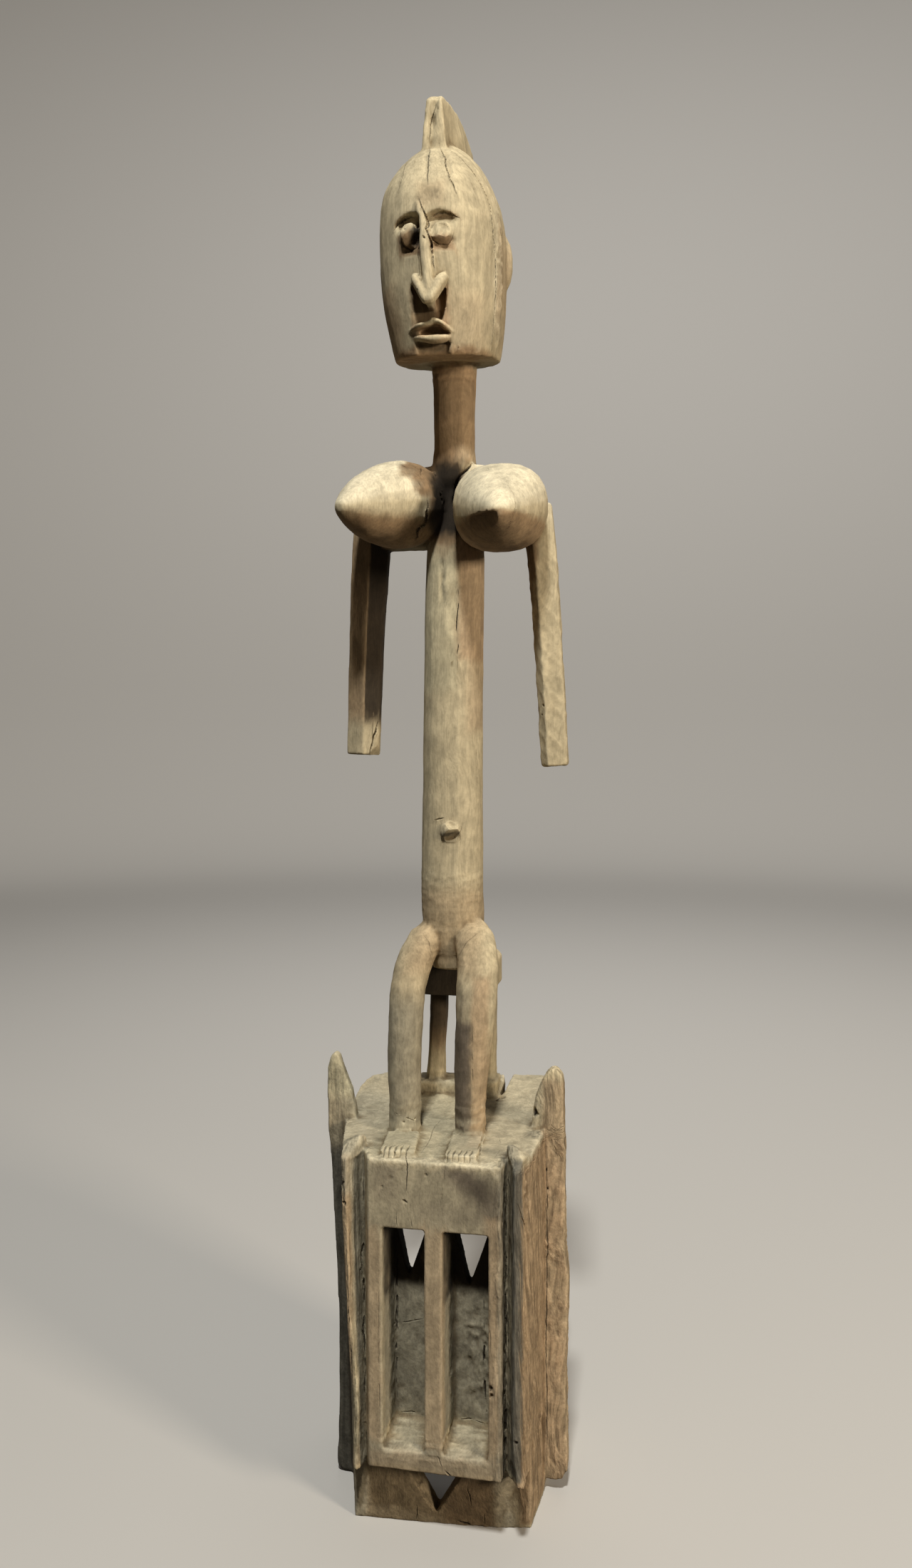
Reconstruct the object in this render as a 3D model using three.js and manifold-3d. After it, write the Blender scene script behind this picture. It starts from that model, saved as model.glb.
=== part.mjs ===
import * as THREE from "three";
import { mergeVertices } from "three/addons/utils/BufferGeometryUtils.js";
import Module from "manifold-3d";

// A Dogon satimbe mask, carved from one log: a face box, open behind and below, with a woman seated on its
// roof. Millimetres. X is to the viewer's right, Y from the carved front to the back, and Z up from the rim.

const wasm = await Module();
wasm.setup();

// Face box
const roofZ = 380;
const roofFallFront = 3;
const creaseY = 62;
const rearRise = { left: 9, right: 17, leftX: -100, rightX: 75 };
const frontY = -66;
const panelY = -28;
const cornerY = -41;
const rearY = 163;
const wallThick = 15;
const roofThick = 36;
const undersideZ = 74;
const beyond = 200;

// Plan of the box at three heights: its outer front corners and the two roots beside the frame as [x, y],
// then where the side walls meet the flanges.
const boxFoot = {
  left: [-82, -35], leftRoot: [-64, -34], rightRoot: [57, -25], right: [92, -18],
  leftWall: -106, rightWall: 97.5,
};
const boxUnder = {
  left: [-84, -31], leftRoot: [-67.5, -41], rightRoot: [70, -41], right: [93, -28],
  leftWall: -108, rightWall: 97.5,
};
const boxTop = {
  left: [-91, -45], leftRoot: [-69, -41], rightRoot: [71.5, -41], right: [92, -43],
  leftWall: -112, rightWall: 97,
};
const frame = { left: -59, right: 69, leftRoot: -69, rightRoot: 71.5 };
const groove = { footZ: 91, rampZ: 105, topZ: 311, draft: 3 };
const grooves = [
  { left: -45, right: -4.5, holeX: -28.8, holeZ: 245 },
  { left: 13.5, right: 57, holeX: 31.6, holeZ: 242 },
];
const mouthHole = { x: -0.5, z: 12, topZ: 58, halfWidth: 27 };
const split = { leftX: 36, tipX: 40.5, rightX: 47, tipY: 113, deep: 14 };

// Flanges that carry the side walls outwards and up into ears, as outlines of [x, z].
const leftFlange = {
  fromY: 28.5,
  toY: 39.5,
  outline: [
    [-90, 2], [-108.5, 2], [-116.5, 3.5], [-119.5, 8], [-120.3, 14], [-118.3, 42], [-117.5, 80],
    [-117.5, 180], [-121.5, 260], [-124.5, 327], [-127.3, 370], [-128.8, 410], [-128.4, 433],
    [-124.5, 444.5], [-121, 447.4], [-118.5, 447], [-116, 444], [-109.8, 425.7], [-102.2, 406.5],
    [-100, 393], [-96, 372],
  ],
};
const rightFlange = {
  fromY: 40.5,
  toY: 55.5,
  outline: [
    [82, 12], [109, 12.5], [115, 15], [120.5, 24], [121, 40], [118.5, 130], [120.5, 196], [120.5, 222],
    [117, 262], [115.5, 366], [114.5, 425], [112.8, 434], [108, 440], [103, 440.5], [98.5, 436.5],
    [93.2, 427.2], [88.9, 416.7], [86, 404.8], [84.6, 395.9], [82, 372],
  ],
};

// Fins beside the frame, as rows of z, outer x, front edge x and root x.
const leftFin = [
  [66, -83, -75, -65], [127, -84, -74, -66.5], [218, -87, -80, -68], [323, -90, -84.5, -69],
  [410, -92, -86, -69],
];
const rightFin = [
  [68, 92, 91.5, 69.5], [92, 92, 87.5, 70], [130, 92, 86, 70.5], [410, 92, 86, 71.5],
];
const finTip = { left: 392, right: 391, fall: 24, edgeWide: 4.5 };

// Woman
const footHigh = 3.5;
const toes = { count: 5, wide: 1.6, long: 10, deep: 3 };
const seat = { bottomZ: 499, topZ: 541, frontY: 84, backY: 142 };
const seatFoot = { frontY: 108, backY: 142 };
const breast = { sides: 24 };
const navel = { x: 2.5, y: 27, z: 680, radius: 12, proud: 11 };
const crest = { frontY: 2, backY: 138, topZ: 1377, x: -9, halfTop: 7.3 };
const chin = { z: 1133, y: -22, climb: 0.16 };

// Brow cuts over the eyes, as rows of x, brow z, foot z and depth.
const brow = { faceY: -33, middleX: -6, curve: 0.00685, reach: 22, roofShare: 0.12 };
const browCuts = [
  [
    [-41, 1251, 1250, 0.3], [-36, 1255.5, 1243, 3], [-30, 1258.6, 1238, 5], [-24, 1260, 1234, 6.5],
    [-18, 1259, 1234, 7], [-13, 1256, 1236, 6],
  ],
  [
    [-9, 1254.5, 1238, 5], [-3.5, 1259, 1235, 6], [2, 1260.3, 1233, 6], [8, 1260.2, 1235, 5.5],
    [14, 1258.3, 1240, 4.5], [19, 1255.8, 1246, 3], [24.5, 1253.5, 1252.8, 0.3],
  ],
];

const wood = new THREE.MeshStandardMaterial({
  color: 0xb29e7c, roughness: 0.85, metalness: 0, flatShading: true,
});

const pointsAt = (outline, z) => outline.map(([x, y]) => new THREE.Vector3(x, y, z));

function solidOf(geometry) {
  geometry.deleteAttribute("normal");
  geometry.deleteAttribute("uv");
  const merged = mergeVertices(geometry, 1e-4);
  return new wasm.Manifold(new wasm.Mesh({
    numProp: 3,
    vertProperties: new Float32Array(merged.attributes.position.array),
    triVerts: new Uint32Array(merged.index.array),
  }));
}

function signedVolume(points, faces) {
  let sum = 0;
  for (let face = 0; face < faces.length; face += 3) {
    const [a, b, c] = [0, 1, 2].map((corner) => points[faces[face + corner]]);
    sum += a.dot(b.clone().cross(c)) / 6;
  }
  return sum;
}

// A closed body through rings that have the same number of points, each end closed by a fan to its middle.
function loft(rings) {
  const sides = rings[0].length;
  const points = rings.flat();
  const faces = [];
  for (let ring = 0; ring + 1 < rings.length; ring++) {
    for (let side = 0; side < sides; side++) {
      const here = ring * sides + side;
      const next = ring * sides + ((side + 1) % sides);
      faces.push(here, next, next + sides, here, next + sides, here + sides);
    }
  }
  for (const ring of [0, rings.length - 1]) {
    const middle = points.length;
    const sum = rings[ring].reduce((total, point) => total.add(point), new THREE.Vector3());
    points.push(sum.divideScalar(sides));
    for (let side = 0; side < sides; side++) {
      const here = ring * sides + side;
      const next = ring * sides + ((side + 1) % sides);
      faces.push(middle, ...(ring === 0 ? [next, here] : [here, next]));
    }
  }
  if (signedVolume(points, faces) < 0) {
    faces.reverse();
  }
  const geometry = new THREE.BufferGeometry().setFromPoints(points);
  geometry.setIndex(faces);
  return solidOf(geometry);
}

// Rows of sizes made into more rows by a smooth curve through each column.
function refine(rows, steps) {
  const curves = rows[0].map((_, column) => new THREE.CatmullRomCurve3(
    rows.map((row) => new THREE.Vector3(row[column], 0, 0)), false, "catmullrom", 0.5));
  const rowAt = (share) => curves.map((curve) => curve.getPoint(share).x);
  return Array.from({ length: steps + 1 }, (_, step) => rowAt(step / steps));
}

// A point of a rounded square one unit in half width: power 2 is a circle, and higher powers are squarer.
function roundPoint(angle, power) {
  const bend = (value) => Math.sign(value) * Math.abs(value) ** (2 / power);
  return [bend(Math.cos(angle)), bend(Math.sin(angle))];
}

function roundSection(sides, power) {
  return Array.from({ length: sides }, (_, side) => roundPoint(((side + 0.5) / sides) * 2 * Math.PI, power));
}

// An upright body from rows of z, middle x, half width, front y and back y, with a soft ridge down its front.
function column(rows, sides, power, ridge = { x: 0, rise: 0, wide: 7 }) {
  return loft(rows.map(([z, x, half, front, back]) => Array.from({ length: sides }, (_, side) => {
    const [across, along] = roundPoint((side / sides) * 2 * Math.PI, power);
    const lift = along < 0 ? ridge.rise * Math.exp(-(((across * half - ridge.x) / ridge.wide) ** 2)) : 0;
    return new THREE.Vector3(x + across * half, (front + back + along * (back - front)) / 2 - lift, z);
  })));
}

// A limb from rows of x, y, z, half width and half depth, with its sections square to the path. The section
// is an outline or gives one for each share of the way along.
function limb(rows, section) {
  const middles = rows.map(([x, y, z]) => new THREE.Vector3(x, y, z));
  return loft(rows.map(([, , , halfWidth, halfDepth], index) => {
    const before = middles[Math.max(index - 1, 0)];
    const after = middles[Math.min(index + 1, rows.length - 1)];
    const along = after.clone().sub(before).normalize();
    const across = new THREE.Vector3(1, 0, 0).addScaledVector(along, -along.x).normalize();
    const through = new THREE.Vector3().crossVectors(across, along);
    const outline = typeof section === "function" ? section(index / (rows.length - 1)) : section;
    return outline.map(([u, v]) => middles[index].clone()
      .addScaledVector(across, u * halfWidth).addScaledVector(through, v * halfDepth));
  }));
}

function extrusion(outline, depth) {
  const shape = new THREE.Shape(outline.map(([u, v]) => new THREE.Vector2(u, v)));
  return new THREE.ExtrudeGeometry(shape, { depth, bevelEnabled: false });
}

// An outline of x and z, seen from the front, between two y values.
function plate(outline, fromY, toY) {
  return solidOf(extrusion(outline, toY - fromY).rotateX(Math.PI / 2).translate(0, toY, 0));
}

// An outline of y and z, seen from the right, between two x values.
function slab(outline, fromX, toX) {
  const upright = new THREE.Matrix4().makeBasis(
    new THREE.Vector3(0, 1, 0), new THREE.Vector3(0, 0, 1), new THREE.Vector3(1, 0, 0));
  return solidOf(extrusion(outline, toX - fromX).applyMatrix4(upright).translate(fromX, 0, 0));
}

// An outline of x and y, seen from above, between two z values.
function post(outline, fromZ, toZ) {
  return solidOf(extrusion(outline, toZ - fromZ).translate(0, 0, fromZ));
}

function ball([x, y, z], [halfX, halfY, halfZ], sides = 12) {
  const geometry = new THREE.SphereGeometry(1, sides, sides / 2 + 1);
  return solidOf(geometry.rotateX(Math.PI / 2).scale(halfX, halfY, halfZ).translate(x, y, z));
}

const join = (solids) => solids.reduce((whole, solid) => whole.add(solid));
const carve = (solid, cuts) => cuts.reduce((rest, cut) => rest.subtract(cut), solid);

// Plan of the box, splayed towards the side flanges and rounded behind.
function planRing({ left, leftRoot, rightRoot, right, leftWall, rightWall }, z) {
  return pointsAt([
    left, leftRoot, rightRoot, right, [rightWall, rightFlange.fromY], [rightWall - 1, rearY - 43],
    [rightWall - 3, rearY - 18], [rightWall - 9, rearY - 5], [rightWall - 18, rearY], [leftWall + 14, rearY],
    [leftWall + 4, rearY - 4], [leftWall - 3, rearY - 10], [leftWall - 7, rearY - 22],
    [leftWall - 8.5, rearY - 38], [leftWall - 6, rearY - 70], [leftWall, leftFlange.toY],
  ], z);
}

// Everything below the roof: nearly flat in front of the crease, and climbing behind it, more on the right.
function underRoof() {
  const slope = (rearRise.right - rearRise.left) / (rearRise.rightX - rearRise.leftX);
  const endY = rearY + 20;
  return loft([-beyond, rearRise.leftX, -20, rearRise.rightX, beyond].map((x) => {
    const rise = rearRise.left + slope * (x - rearRise.leftX);
    const endRise = (rise * (endY - creaseY)) / (rearY - creaseY);
    return [
      [frontY - 20, -10], [endY, -10], [endY, roofZ + endRise], [creaseY, roofZ],
      [frontY - 20, roofZ - roofFallFront],
    ].map(([y, z]) => new THREE.Vector3(x, y, z));
  }));
}

// The box with the frame that stands forward of it.
function block() {
  const above = roofZ + 30;
  const core = loft([planRing(boxFoot, 0), planRing(boxUnder, undersideZ), planRing(boxTop, above)]);
  const framePlan = [
    [frame.left, frontY], [frame.right, frontY], [frame.rightRoot, cornerY],
    [frame.rightRoot, cornerY + 25], [frame.leftRoot, cornerY + 25], [frame.leftRoot, cornerY],
  ];
  return core.add(post(framePlan, undersideZ, above)).intersect(underRoof());
}

// A long groove with a ramp at its foot, and the eye hole that opens from its top into the hollow.
function grooveCut({ left, right, holeX, holeZ }) {
  const ring = (y, inset, footZ) => [
    [left + inset, footZ], [right - inset, footZ], [right - inset, groove.topZ], [left + inset, groove.topZ],
  ].map(([x, z]) => new THREE.Vector3(x, y, z));
  const trough = loft([ring(frontY - 5, -1, groove.footZ), ring(panelY, groove.draft, groove.rampZ)]);
  const eyeHole = plate([[left + 1, groove.topZ], [holeX, holeZ], [right - 1, groove.topZ]], panelY - 3, 15);
  return trough.add(eyeHole);
}

// Room for the wearer's head, open behind and below, with a rounded top.
function hollow() {
  const frontInside = panelY + wallThick;
  const sections = [[-10, 0], [250, 0], [300, 6], [330, 20], [roofZ - roofThick, 42]];
  const leftX = boxFoot.leftWall + wallThick;
  const rightX = boxFoot.rightWall - wallThick;
  return loft(sections.map(([z, inset]) => pointsAt([
    [boxFoot.left[0] + wallThick + inset, frontInside + inset / 2],
    [boxFoot.right[0] - wallThick - inset, frontInside + inset / 2],
    [rightX - inset, rightFlange.toY], [rightX - inset, rearY + 20],
    [leftX + inset, rearY + 20], [leftX + inset, rightFlange.toY],
  ], z)));
}

function mouthCut() {
  const { x, z, topZ, halfWidth } = mouthHole;
  return plate([[x - halfWidth, topZ], [x, z], [x + halfWidth, topZ]], cornerY - 20, 15);
}

// The split in the roof's rear edge, beside the stool's foot.
function roofSplit() {
  const plan = [
    [split.leftX, rearY + 10], [split.leftX + 2, split.tipY + 4], [split.tipX, split.tipY],
    [split.rightX, rearY + 10],
  ];
  return post(plan, roofZ - split.deep, roofZ + 60);
}

// A fin carries a side wall forward beside the frame. Its pointed top stands above the roof and falls to the
// front.
function fin(side, rows, tipZ) {
  const footZ = rows[0][0];
  const body = loft(rows.map(([z, outer, edge, root]) => pointsAt([
    [edge - side * finTip.edgeWide, frontY], [root, cornerY], [root - side * 3, cornerY + 24],
    [outer, cornerY + 24], [outer, cornerY + 4], [edge, frontY + 2],
  ], z)));
  const profile = [
    [frontY - 5, footZ + 3], [cornerY + 30, footZ - 1], [cornerY + 30, roofZ - 8], [cornerY + 12, roofZ - 8],
    [cornerY + 4, tipZ - 3], [cornerY - 3, tipZ], [frontY - 5, tipZ - finTip.fall],
  ];
  const root = rows[rows.length - 1][3];
  const lean = [
    [root + side * 2, tipZ + 1], [root - side * 6, tipZ - 4], [root - side * 8, 0],
    [root + side * 40, 0], [root + side * 40, tipZ - finTip.fall + 1],
  ];
  return body.intersect(slab(profile, -beyond, beyond)).intersect(plate(lean, frontY - 20, cornerY + 40));
}

function faceBox() {
  const walls = join([
    block(),
    fin(-1, leftFin, finTip.left),
    fin(1, rightFin, finTip.right),
    ...[leftFlange, rightFlange].map(({ outline, fromY, toY }) => plate(outline, fromY, toY)),
  ]);
  return carve(walls, [hollow(), mouthCut(), roofSplit(), ...grooves.map(grooveCut)]);
}

// A flat foot in low relief, from its heel line to its toe line, with cuts between the toes.
function foot([heelLeft, heelRight, toeRight, toeLeft]) {
  const sole = post([heelLeft, heelRight, toeRight, toeLeft], roofZ - 12, roofZ + footHigh);
  const cuts = Array.from({ length: toes.count - 1 }, (_, index) => {
    const share = (index + 1) / toes.count;
    const x = toeLeft[0] + share * (toeRight[0] - toeLeft[0]);
    const y = toeLeft[1] + share * (toeRight[1] - toeLeft[1]);
    const half = toes.wide / 2;
    const plan = [[x - half, y - 3], [x + half, y - 3], [x, y + toes.long]];
    return post(plan, roofZ + footHigh - toes.deep, roofZ + 20);
  });
  return carve(sole, cuts);
}

// Each leg rises from its ankle, a little behind the heel, to a bent knee at the front of the hip.
function legs() {
  const section = roundSection(16, 2.2);
  const left = [
    [-15, 54, 572, 15, 17], [-25, 39, 568, 17, 18], [-33, 23, 550, 18, 18], [-38.5, 13, 522, 17.5, 17.5],
    [-40, 10, 490, 17.5, 17.5], [-42, 11, 450, 17, 17.5], [-41.5, 12, 412, 16, 17.5], [-42, 13, 374, 15, 18],
  ];
  const right = [
    [15, 54, 574, 17, 18], [24, 39, 570, 20, 19], [31, 23, 552, 20.5, 18], [31.5, 13, 522, 20.5, 18],
    [31, 10, 495, 19.5, 18], [27.5, 11, 455, 17.5, 17.5], [25.5, 12, 415, 15.5, 17.5],
    [25.5, 13, 374, 14.5, 18],
  ];
  return join([
    limb(refine(left, 12), section),
    limb(refine(right, 12), section),
    foot([[-54, -8], [-24, -2], [-14.5, -57], [-48, -60]]),
    foot([[9, 4], [40, 4], [44, -58], [15, -60]]),
  ]);
}

// A stool with a thick seat, two posts and a bar across their feet.
function stool() {
  const square = roundSection(8, 3);
  const seatOutline = [
    [-50, 507], [-44, seat.bottomZ], [30, seat.bottomZ], [36, 507], [36.5, 535], [31, seat.topZ],
    [-46, seat.topZ], [-51, 534],
  ];
  const leftPost = [
    [-30, 125, 520, 10, 14], [-31, 125, 470, 9.5, 12.5], [-33, 125, 430, 9, 12], [-35, 125, 385, 11, 14],
  ];
  const rightPost = [
    [24, 125, 520, 9, 14], [25, 125, 470, 8, 12.5], [24.5, 125, 430, 8, 12], [24, 125, 385, 9, 14],
  ];
  return join([
    plate(seatOutline, seat.frontY, seat.backY),
    limb(leftPost, square),
    limb(rightPost, square),
    plate([[-54, 378], [35, 376], [35, 403], [-54, 398]], seatFoot.frontY, seatFoot.backY),
  ]);
}

function torso() {
  const rows = [
    [538, -3, 19, 35, 84], [556, -3, 26, 31, 97], [580, -2, 31, 28, 99], [612, -2, 31.5, 26, 89],
    [680, -1, 31, 25, 83], [800, -0.5, 30, 26, 83], [900, 0.5, 29.5, 27, 84], [950, 1.5, 29, 27, 84],
    [975, 1.5, 27.5, 30, 84], [1000, 1, 24, 35, 83], [1026, 1, 21, 39, 81],
  ];
  const navelPeg = new THREE.CylinderGeometry(navel.radius, navel.radius * 0.8, navel.proud + 10, 7)
    .translate(navel.x, navel.y - navel.proud / 2 + 5, navel.z);
  return join([
    column(refine(rows, 20), 20, 2.3, { x: 9, rise: 2, wide: 9 }),
    solidOf(navelPeg),
  ]);
}

// The shoulders, behind the breasts, and the neck that rises from them.
function shoulders() {
  const yoke = [
    [964, -2, 86, 46, 70], [978, -3, 98, 42, 78], [996, -3, 95, 42, 82], [1012, -2, 84, 42, 82],
    [1026, -2, 66, 43, 80], [1037, -2, 48, 44, 78], [1045, 0, 32, 45, 76],
  ];
  const neck = [
    [1010, 0, 21, 40, 80], [1030, 0, 24, 34, 80], [1060, 0.5, 20.5, 35, 77], [1111, 0.5, 21, 35, 77],
    [1152, 0, 23, 34, 80],
  ];
  return join([
    column(refine(yoke, 10), 24, 3),
    column(neck, 12, 2.6),
    ball([68, 55, 1008], [26, 20, 25]),
  ]);
}

// A breast from its root in the chest, which is squarer, to its blunt point.
function breastSolid(root, point, halfWidth, halfHeight, squareness) {
  const swell = [
    [-0.15, 0.8], [0, 0.95], [0.14, 1], [0.32, 0.97], [0.52, 0.84], [0.7, 0.65], [0.85, 0.42], [0.95, 0.24],
    [1, 0.1],
  ];
  const from = new THREE.Vector3(...root);
  const to = new THREE.Vector3(...point);
  const rows = swell.map(([share, size]) => [
    ...from.clone().lerp(to, share).toArray(), size * halfWidth, size * halfHeight,
  ]);
  return limb(refine(rows, 14), (share) => roundSection(breast.sides, 2 + squareness * (1 - share) ** 2));
}

// Plank-like arms with a long edge down the front, cut off square at the ends.
function arms() {
  const section = (edge) => [[-1, -0.3], [edge, -1], [1, -0.3], [1, 0.5], [0.6, 1], [-0.6, 1], [-1, 0.6]];
  const left = [
    [-86, 57, 1004, 16, 16], [-87.5, 57, 958, 19, 15], [-91, 57, 900, 18, 14.5], [-94, 57, 820, 17, 14],
    [-96.5, 57, 755, 16.5, 13],
  ];
  const right = [
    [83, 57, 1004, 15, 16], [88.5, 57, 958, 14.5, 15], [93, 57, 904, 13.8, 14.5], [97.8, 57, 830, 13.6, 14],
    [102.9, 57, 745, 13.2, 13],
  ];
  return join([limb(refine(left, 8), section(0.2)), limb(refine(right, 8), section(-0.4))]);
}

// What is cut away below the head: its underside climbs to the back.
function underHead() {
  const corners = [[-120, -80], [120, -80], [120, 180], [-120, 180]];
  return loft([
    pointsAt(corners, chin.z - 60),
    corners.map(([x, y]) => new THREE.Vector3(x, y, chin.z + chin.climb * (y - chin.y))),
  ]);
}

// The crest is a tall fin from forehead to nape, thicker at its foot and towards the back.
function crestSolid() {
  const outline = [
    [crest.frontY + 5, 1312], [crest.frontY, crest.topZ], [11, 1384], [38, 1389], [70, 1391.5], [100, 1389],
    [122, 1380], [135, 1366], [crest.backY, 1330], [130, 1280], [70, 1270],
  ];
  const face = (side, spread, thicken) => outline.map(([y, z]) => new THREE.Vector3(
    crest.x + side * (crest.halfTop + (spread * (crest.topZ - z)) / 50 + (thicken * y) / crest.backY), y, z));
  return loft([face(-1, 6.5, 3), face(1, 4.4, 8)]);
}

// Nose ridge down to its tip, from rows of z, middle x, half width, face y and height off the face.
function nose() {
  const rows = [
    [1268, -14.5, 3, -34, 1], [1258, -13, 4, -33.5, 5], [1246, -10.5, 5.5, -32, 8.5], [1222, -8, 6, -31, 11],
    [1204, -6, 6, -30, 13], [1190, -5, 5, -29, 15], [1178, -4.5, 4.5, -27, 17], [1173, -4.5, 3, -22, 18],
  ];
  return loft(rows.map(([z, x, half, faceY, high]) => pointsAt([
    [x - half, faceY], [x - half * 0.75, faceY - high * 0.85], [x, faceY - high],
    [x + half * 0.75, faceY - high * 0.85], [x + half, faceY], [x, faceY + 14],
  ], z)));
}

// The nose's wings fall together to its tip like the halves of a heart.
function noseWings() {
  const section = roundSection(10, 2.4);
  const left = [
    [-19.5, -30, 1204, 1.5, 2], [-18.5, -32, 1200, 4.4, 5], [-13, -36.5, 1189, 4.6, 6.5],
    [-7, -41, 1177, 4, 5], [-5.5, -41, 1174, 2, 2.5],
  ];
  const right = [
    [8.5, -30, 1203, 1.5, 2], [7.5, -32, 1199, 5, 5], [3, -36.5, 1189, 5.2, 6.5],
    [-2, -41, 1177, 4, 5], [-3.5, -41, 1174, 2, 2.5],
  ];
  return join([left, right].map((rows) => limb(refine(rows, 8), section)));
}

// A brow's cut is deepest under its edge and runs out at its foot.
function browCut(rows) {
  return loft(rows.map(([x, browZ, footZ, deep]) => {
    const faceY = brow.faceY + brow.curve * (x - brow.middleX) ** 2;
    const deepZ = browZ - brow.roofShare * (browZ - footZ);
    const roofSlope = (browZ - deepZ) / deep;
    const floorSlope = (deepZ - footZ) / deep;
    return [
      [faceY + deep, deepZ], [faceY - brow.reach, browZ + brow.reach * roofSlope],
      [faceY - brow.reach, footZ - brow.reach * floorSlope],
    ].map(([y, z]) => new THREE.Vector3(x, y, z));
  }));
}

// A lip from rows of x, y, z, half depth and half height, with its sections upright.
function lip(rows) {
  const section = roundSection(8, 2);
  return loft(refine(rows, 12).map(([x, y, z, halfDeep, halfHigh]) => (
    section.map(([u, v]) => new THREE.Vector3(x, y + u * halfDeep, z + v * halfHigh)))));
}

// The open mouth between two lips, in the hollow that runs from the nose down to the chin.
function mouthCuts() {
  const underNose = [[-25, 1196], [10, 1196], [8.5, 1176], [5, 1160], [-20.5, 1160], [-24, 1176]];
  const opening = [
    [-22.5, 1152.5], [-12, 1150.4], [1, 1149.8], [13, 1151.2], [7.5, 1155], [2.5, 1158], [-4, 1158],
    [-11, 1156.4],
  ];
  const onChin = [[-21.5, 1150], [13, 1150], [7.5, chin.z - 20], [-17.5, chin.z - 20]];
  return [plate(underNose, -60, -21.5), plate(opening, -60, -17), plate(onChin, -60, -16)];
}

function lips() {
  return [
    lip([
      [-28.5, -18.5, 1156, 1.5, 1], [-19, -25, 1158.3, 4.5, 2.6], [-8, -28, 1159, 5, 2.7],
      [-1, -28.5, 1161.5, 5, 3], [4, -28, 1161, 5, 3], [9, -26, 1157, 4.5, 2.7], [16, -19, 1152.3, 1.5, 1],
    ]),
    lip([
      [-26.5, -17, 1151.5, 1.5, 1], [-15, -23, 1148, 4.5, 3], [-4, -25, 1146, 5, 4.2],
      [6, -24, 1146.3, 4.8, 3.8], [16.5, -17, 1150.5, 1.5, 1],
    ]),
  ];
}

function head() {
  const rows = [
    [1122, -3, 43, -14, 90], [1136, -3, 48, -20, 97], [1150, -3.5, 52, -23, 103], [1168, -4.8, 55, -26, 109],
    [1192, -6.4, 58.4, -30, 117], [1226, -7.8, 60.3, -33, 125], [1262, -8.4, 60.4, -34, 130],
    [1290, -9.9, 57, -29, 130], [1312, -9.8, 48, -17, 124], [1332, -8.8, 34.5, 3, 111],
    [1346, -9, 18, 24, 93], [1352, -11, 6, 42, 72],
  ];
  const skull = column(refine(rows, 20), 36, 2.3).subtract(underHead());
  const eyes = [
    ball([-24.4, -29.5, 1240], [9.8, 10, 11.8], 8),
    ball([5.4, -29.5, 1239.5], [10.6, 10, 11], 8),
  ];
  const ears = [ball([47.5, 66, 1243], [10, 11, 28]), ball([-65, 72, 1245], [10, 11, 27])];
  const face = carve(skull, [...browCuts.map(browCut), ...mouthCuts()]);
  return join([face, crestSolid(), nose(), noseWings(), ...eyes, ...lips(), ...ears]);
}

const solid = join([
  faceBox(),
  legs(),
  stool(),
  torso(),
  shoulders(),
  breastSolid([-42, 44, 1006.5], [-86.5, -55, 989], 43, 42.5, 0),
  breastSolid([51.5, 34, 999], [66, -75.18, 976.5], 46, 42, 0.7),
  arms(),
  head(),
]);

// One mesh, moved so that its origin is under the middle of its own box, on the rim it stands on.
function meshOf(manifold, name) {
  const { vertProperties, triVerts, numProp } = manifold.getMesh();
  const positions = Array.from({ length: vertProperties.length / numProp }, (_, index) => (
    new THREE.Vector3().fromArray(vertProperties, index * numProp)));
  const geometry = new THREE.BufferGeometry().setFromPoints(positions);
  geometry.setIndex(Array.from(triVerts));
  geometry.computeBoundingBox();
  const { min, max } = geometry.boundingBox;
  geometry.translate(-(min.x + max.x) / 2, -(min.y + max.y) / 2, -min.z);
  geometry.computeVertexNormals();
  const mesh = new THREE.Mesh(geometry, wood);
  mesh.name = name;
  return mesh;
}

const satimbe = new THREE.Group();
satimbe.add(meshOf(solid, "satimbe_mask"));

export default satimbe;
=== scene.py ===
import math

import bpy
import numpy as np
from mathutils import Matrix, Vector


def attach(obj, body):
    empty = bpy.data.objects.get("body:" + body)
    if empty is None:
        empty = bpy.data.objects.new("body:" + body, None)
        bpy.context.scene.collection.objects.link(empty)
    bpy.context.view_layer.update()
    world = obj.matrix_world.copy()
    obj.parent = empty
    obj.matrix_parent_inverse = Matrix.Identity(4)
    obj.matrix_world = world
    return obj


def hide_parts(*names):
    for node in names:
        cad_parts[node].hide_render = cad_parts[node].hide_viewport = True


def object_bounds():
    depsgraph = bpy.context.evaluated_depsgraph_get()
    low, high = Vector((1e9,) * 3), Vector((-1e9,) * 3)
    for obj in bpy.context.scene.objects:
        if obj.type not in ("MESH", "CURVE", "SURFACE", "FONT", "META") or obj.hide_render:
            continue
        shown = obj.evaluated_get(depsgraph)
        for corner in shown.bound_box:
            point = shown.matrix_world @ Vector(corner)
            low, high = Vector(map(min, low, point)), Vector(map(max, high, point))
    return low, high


# A Dogon satimbe mask, carved from one log and dried out. The frame gives its form, and everything here
# is the surface of that wood. Lengths are millimetres in the frame's own axes, unless a note says more.
mm = 0.001
farOff = 99.0

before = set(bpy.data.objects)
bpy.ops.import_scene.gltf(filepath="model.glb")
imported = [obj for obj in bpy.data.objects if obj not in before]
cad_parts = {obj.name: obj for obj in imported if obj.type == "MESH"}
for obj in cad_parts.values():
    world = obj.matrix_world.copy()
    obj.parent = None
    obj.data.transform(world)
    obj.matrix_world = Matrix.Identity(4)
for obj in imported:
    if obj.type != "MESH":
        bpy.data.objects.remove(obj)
cadLow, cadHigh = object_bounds()
print("frame loaded:", sorted(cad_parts))


# Hand tools

def deselectAll():
    if bpy.context.object and bpy.context.object.mode != "OBJECT":
        bpy.ops.object.mode_set(mode="OBJECT")
    bpy.ops.object.select_all(action="DESELECT")


def pickUp(obj):
    deselectAll()
    obj.select_set(True)
    bpy.context.view_layer.objects.active = obj
    return obj


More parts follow.
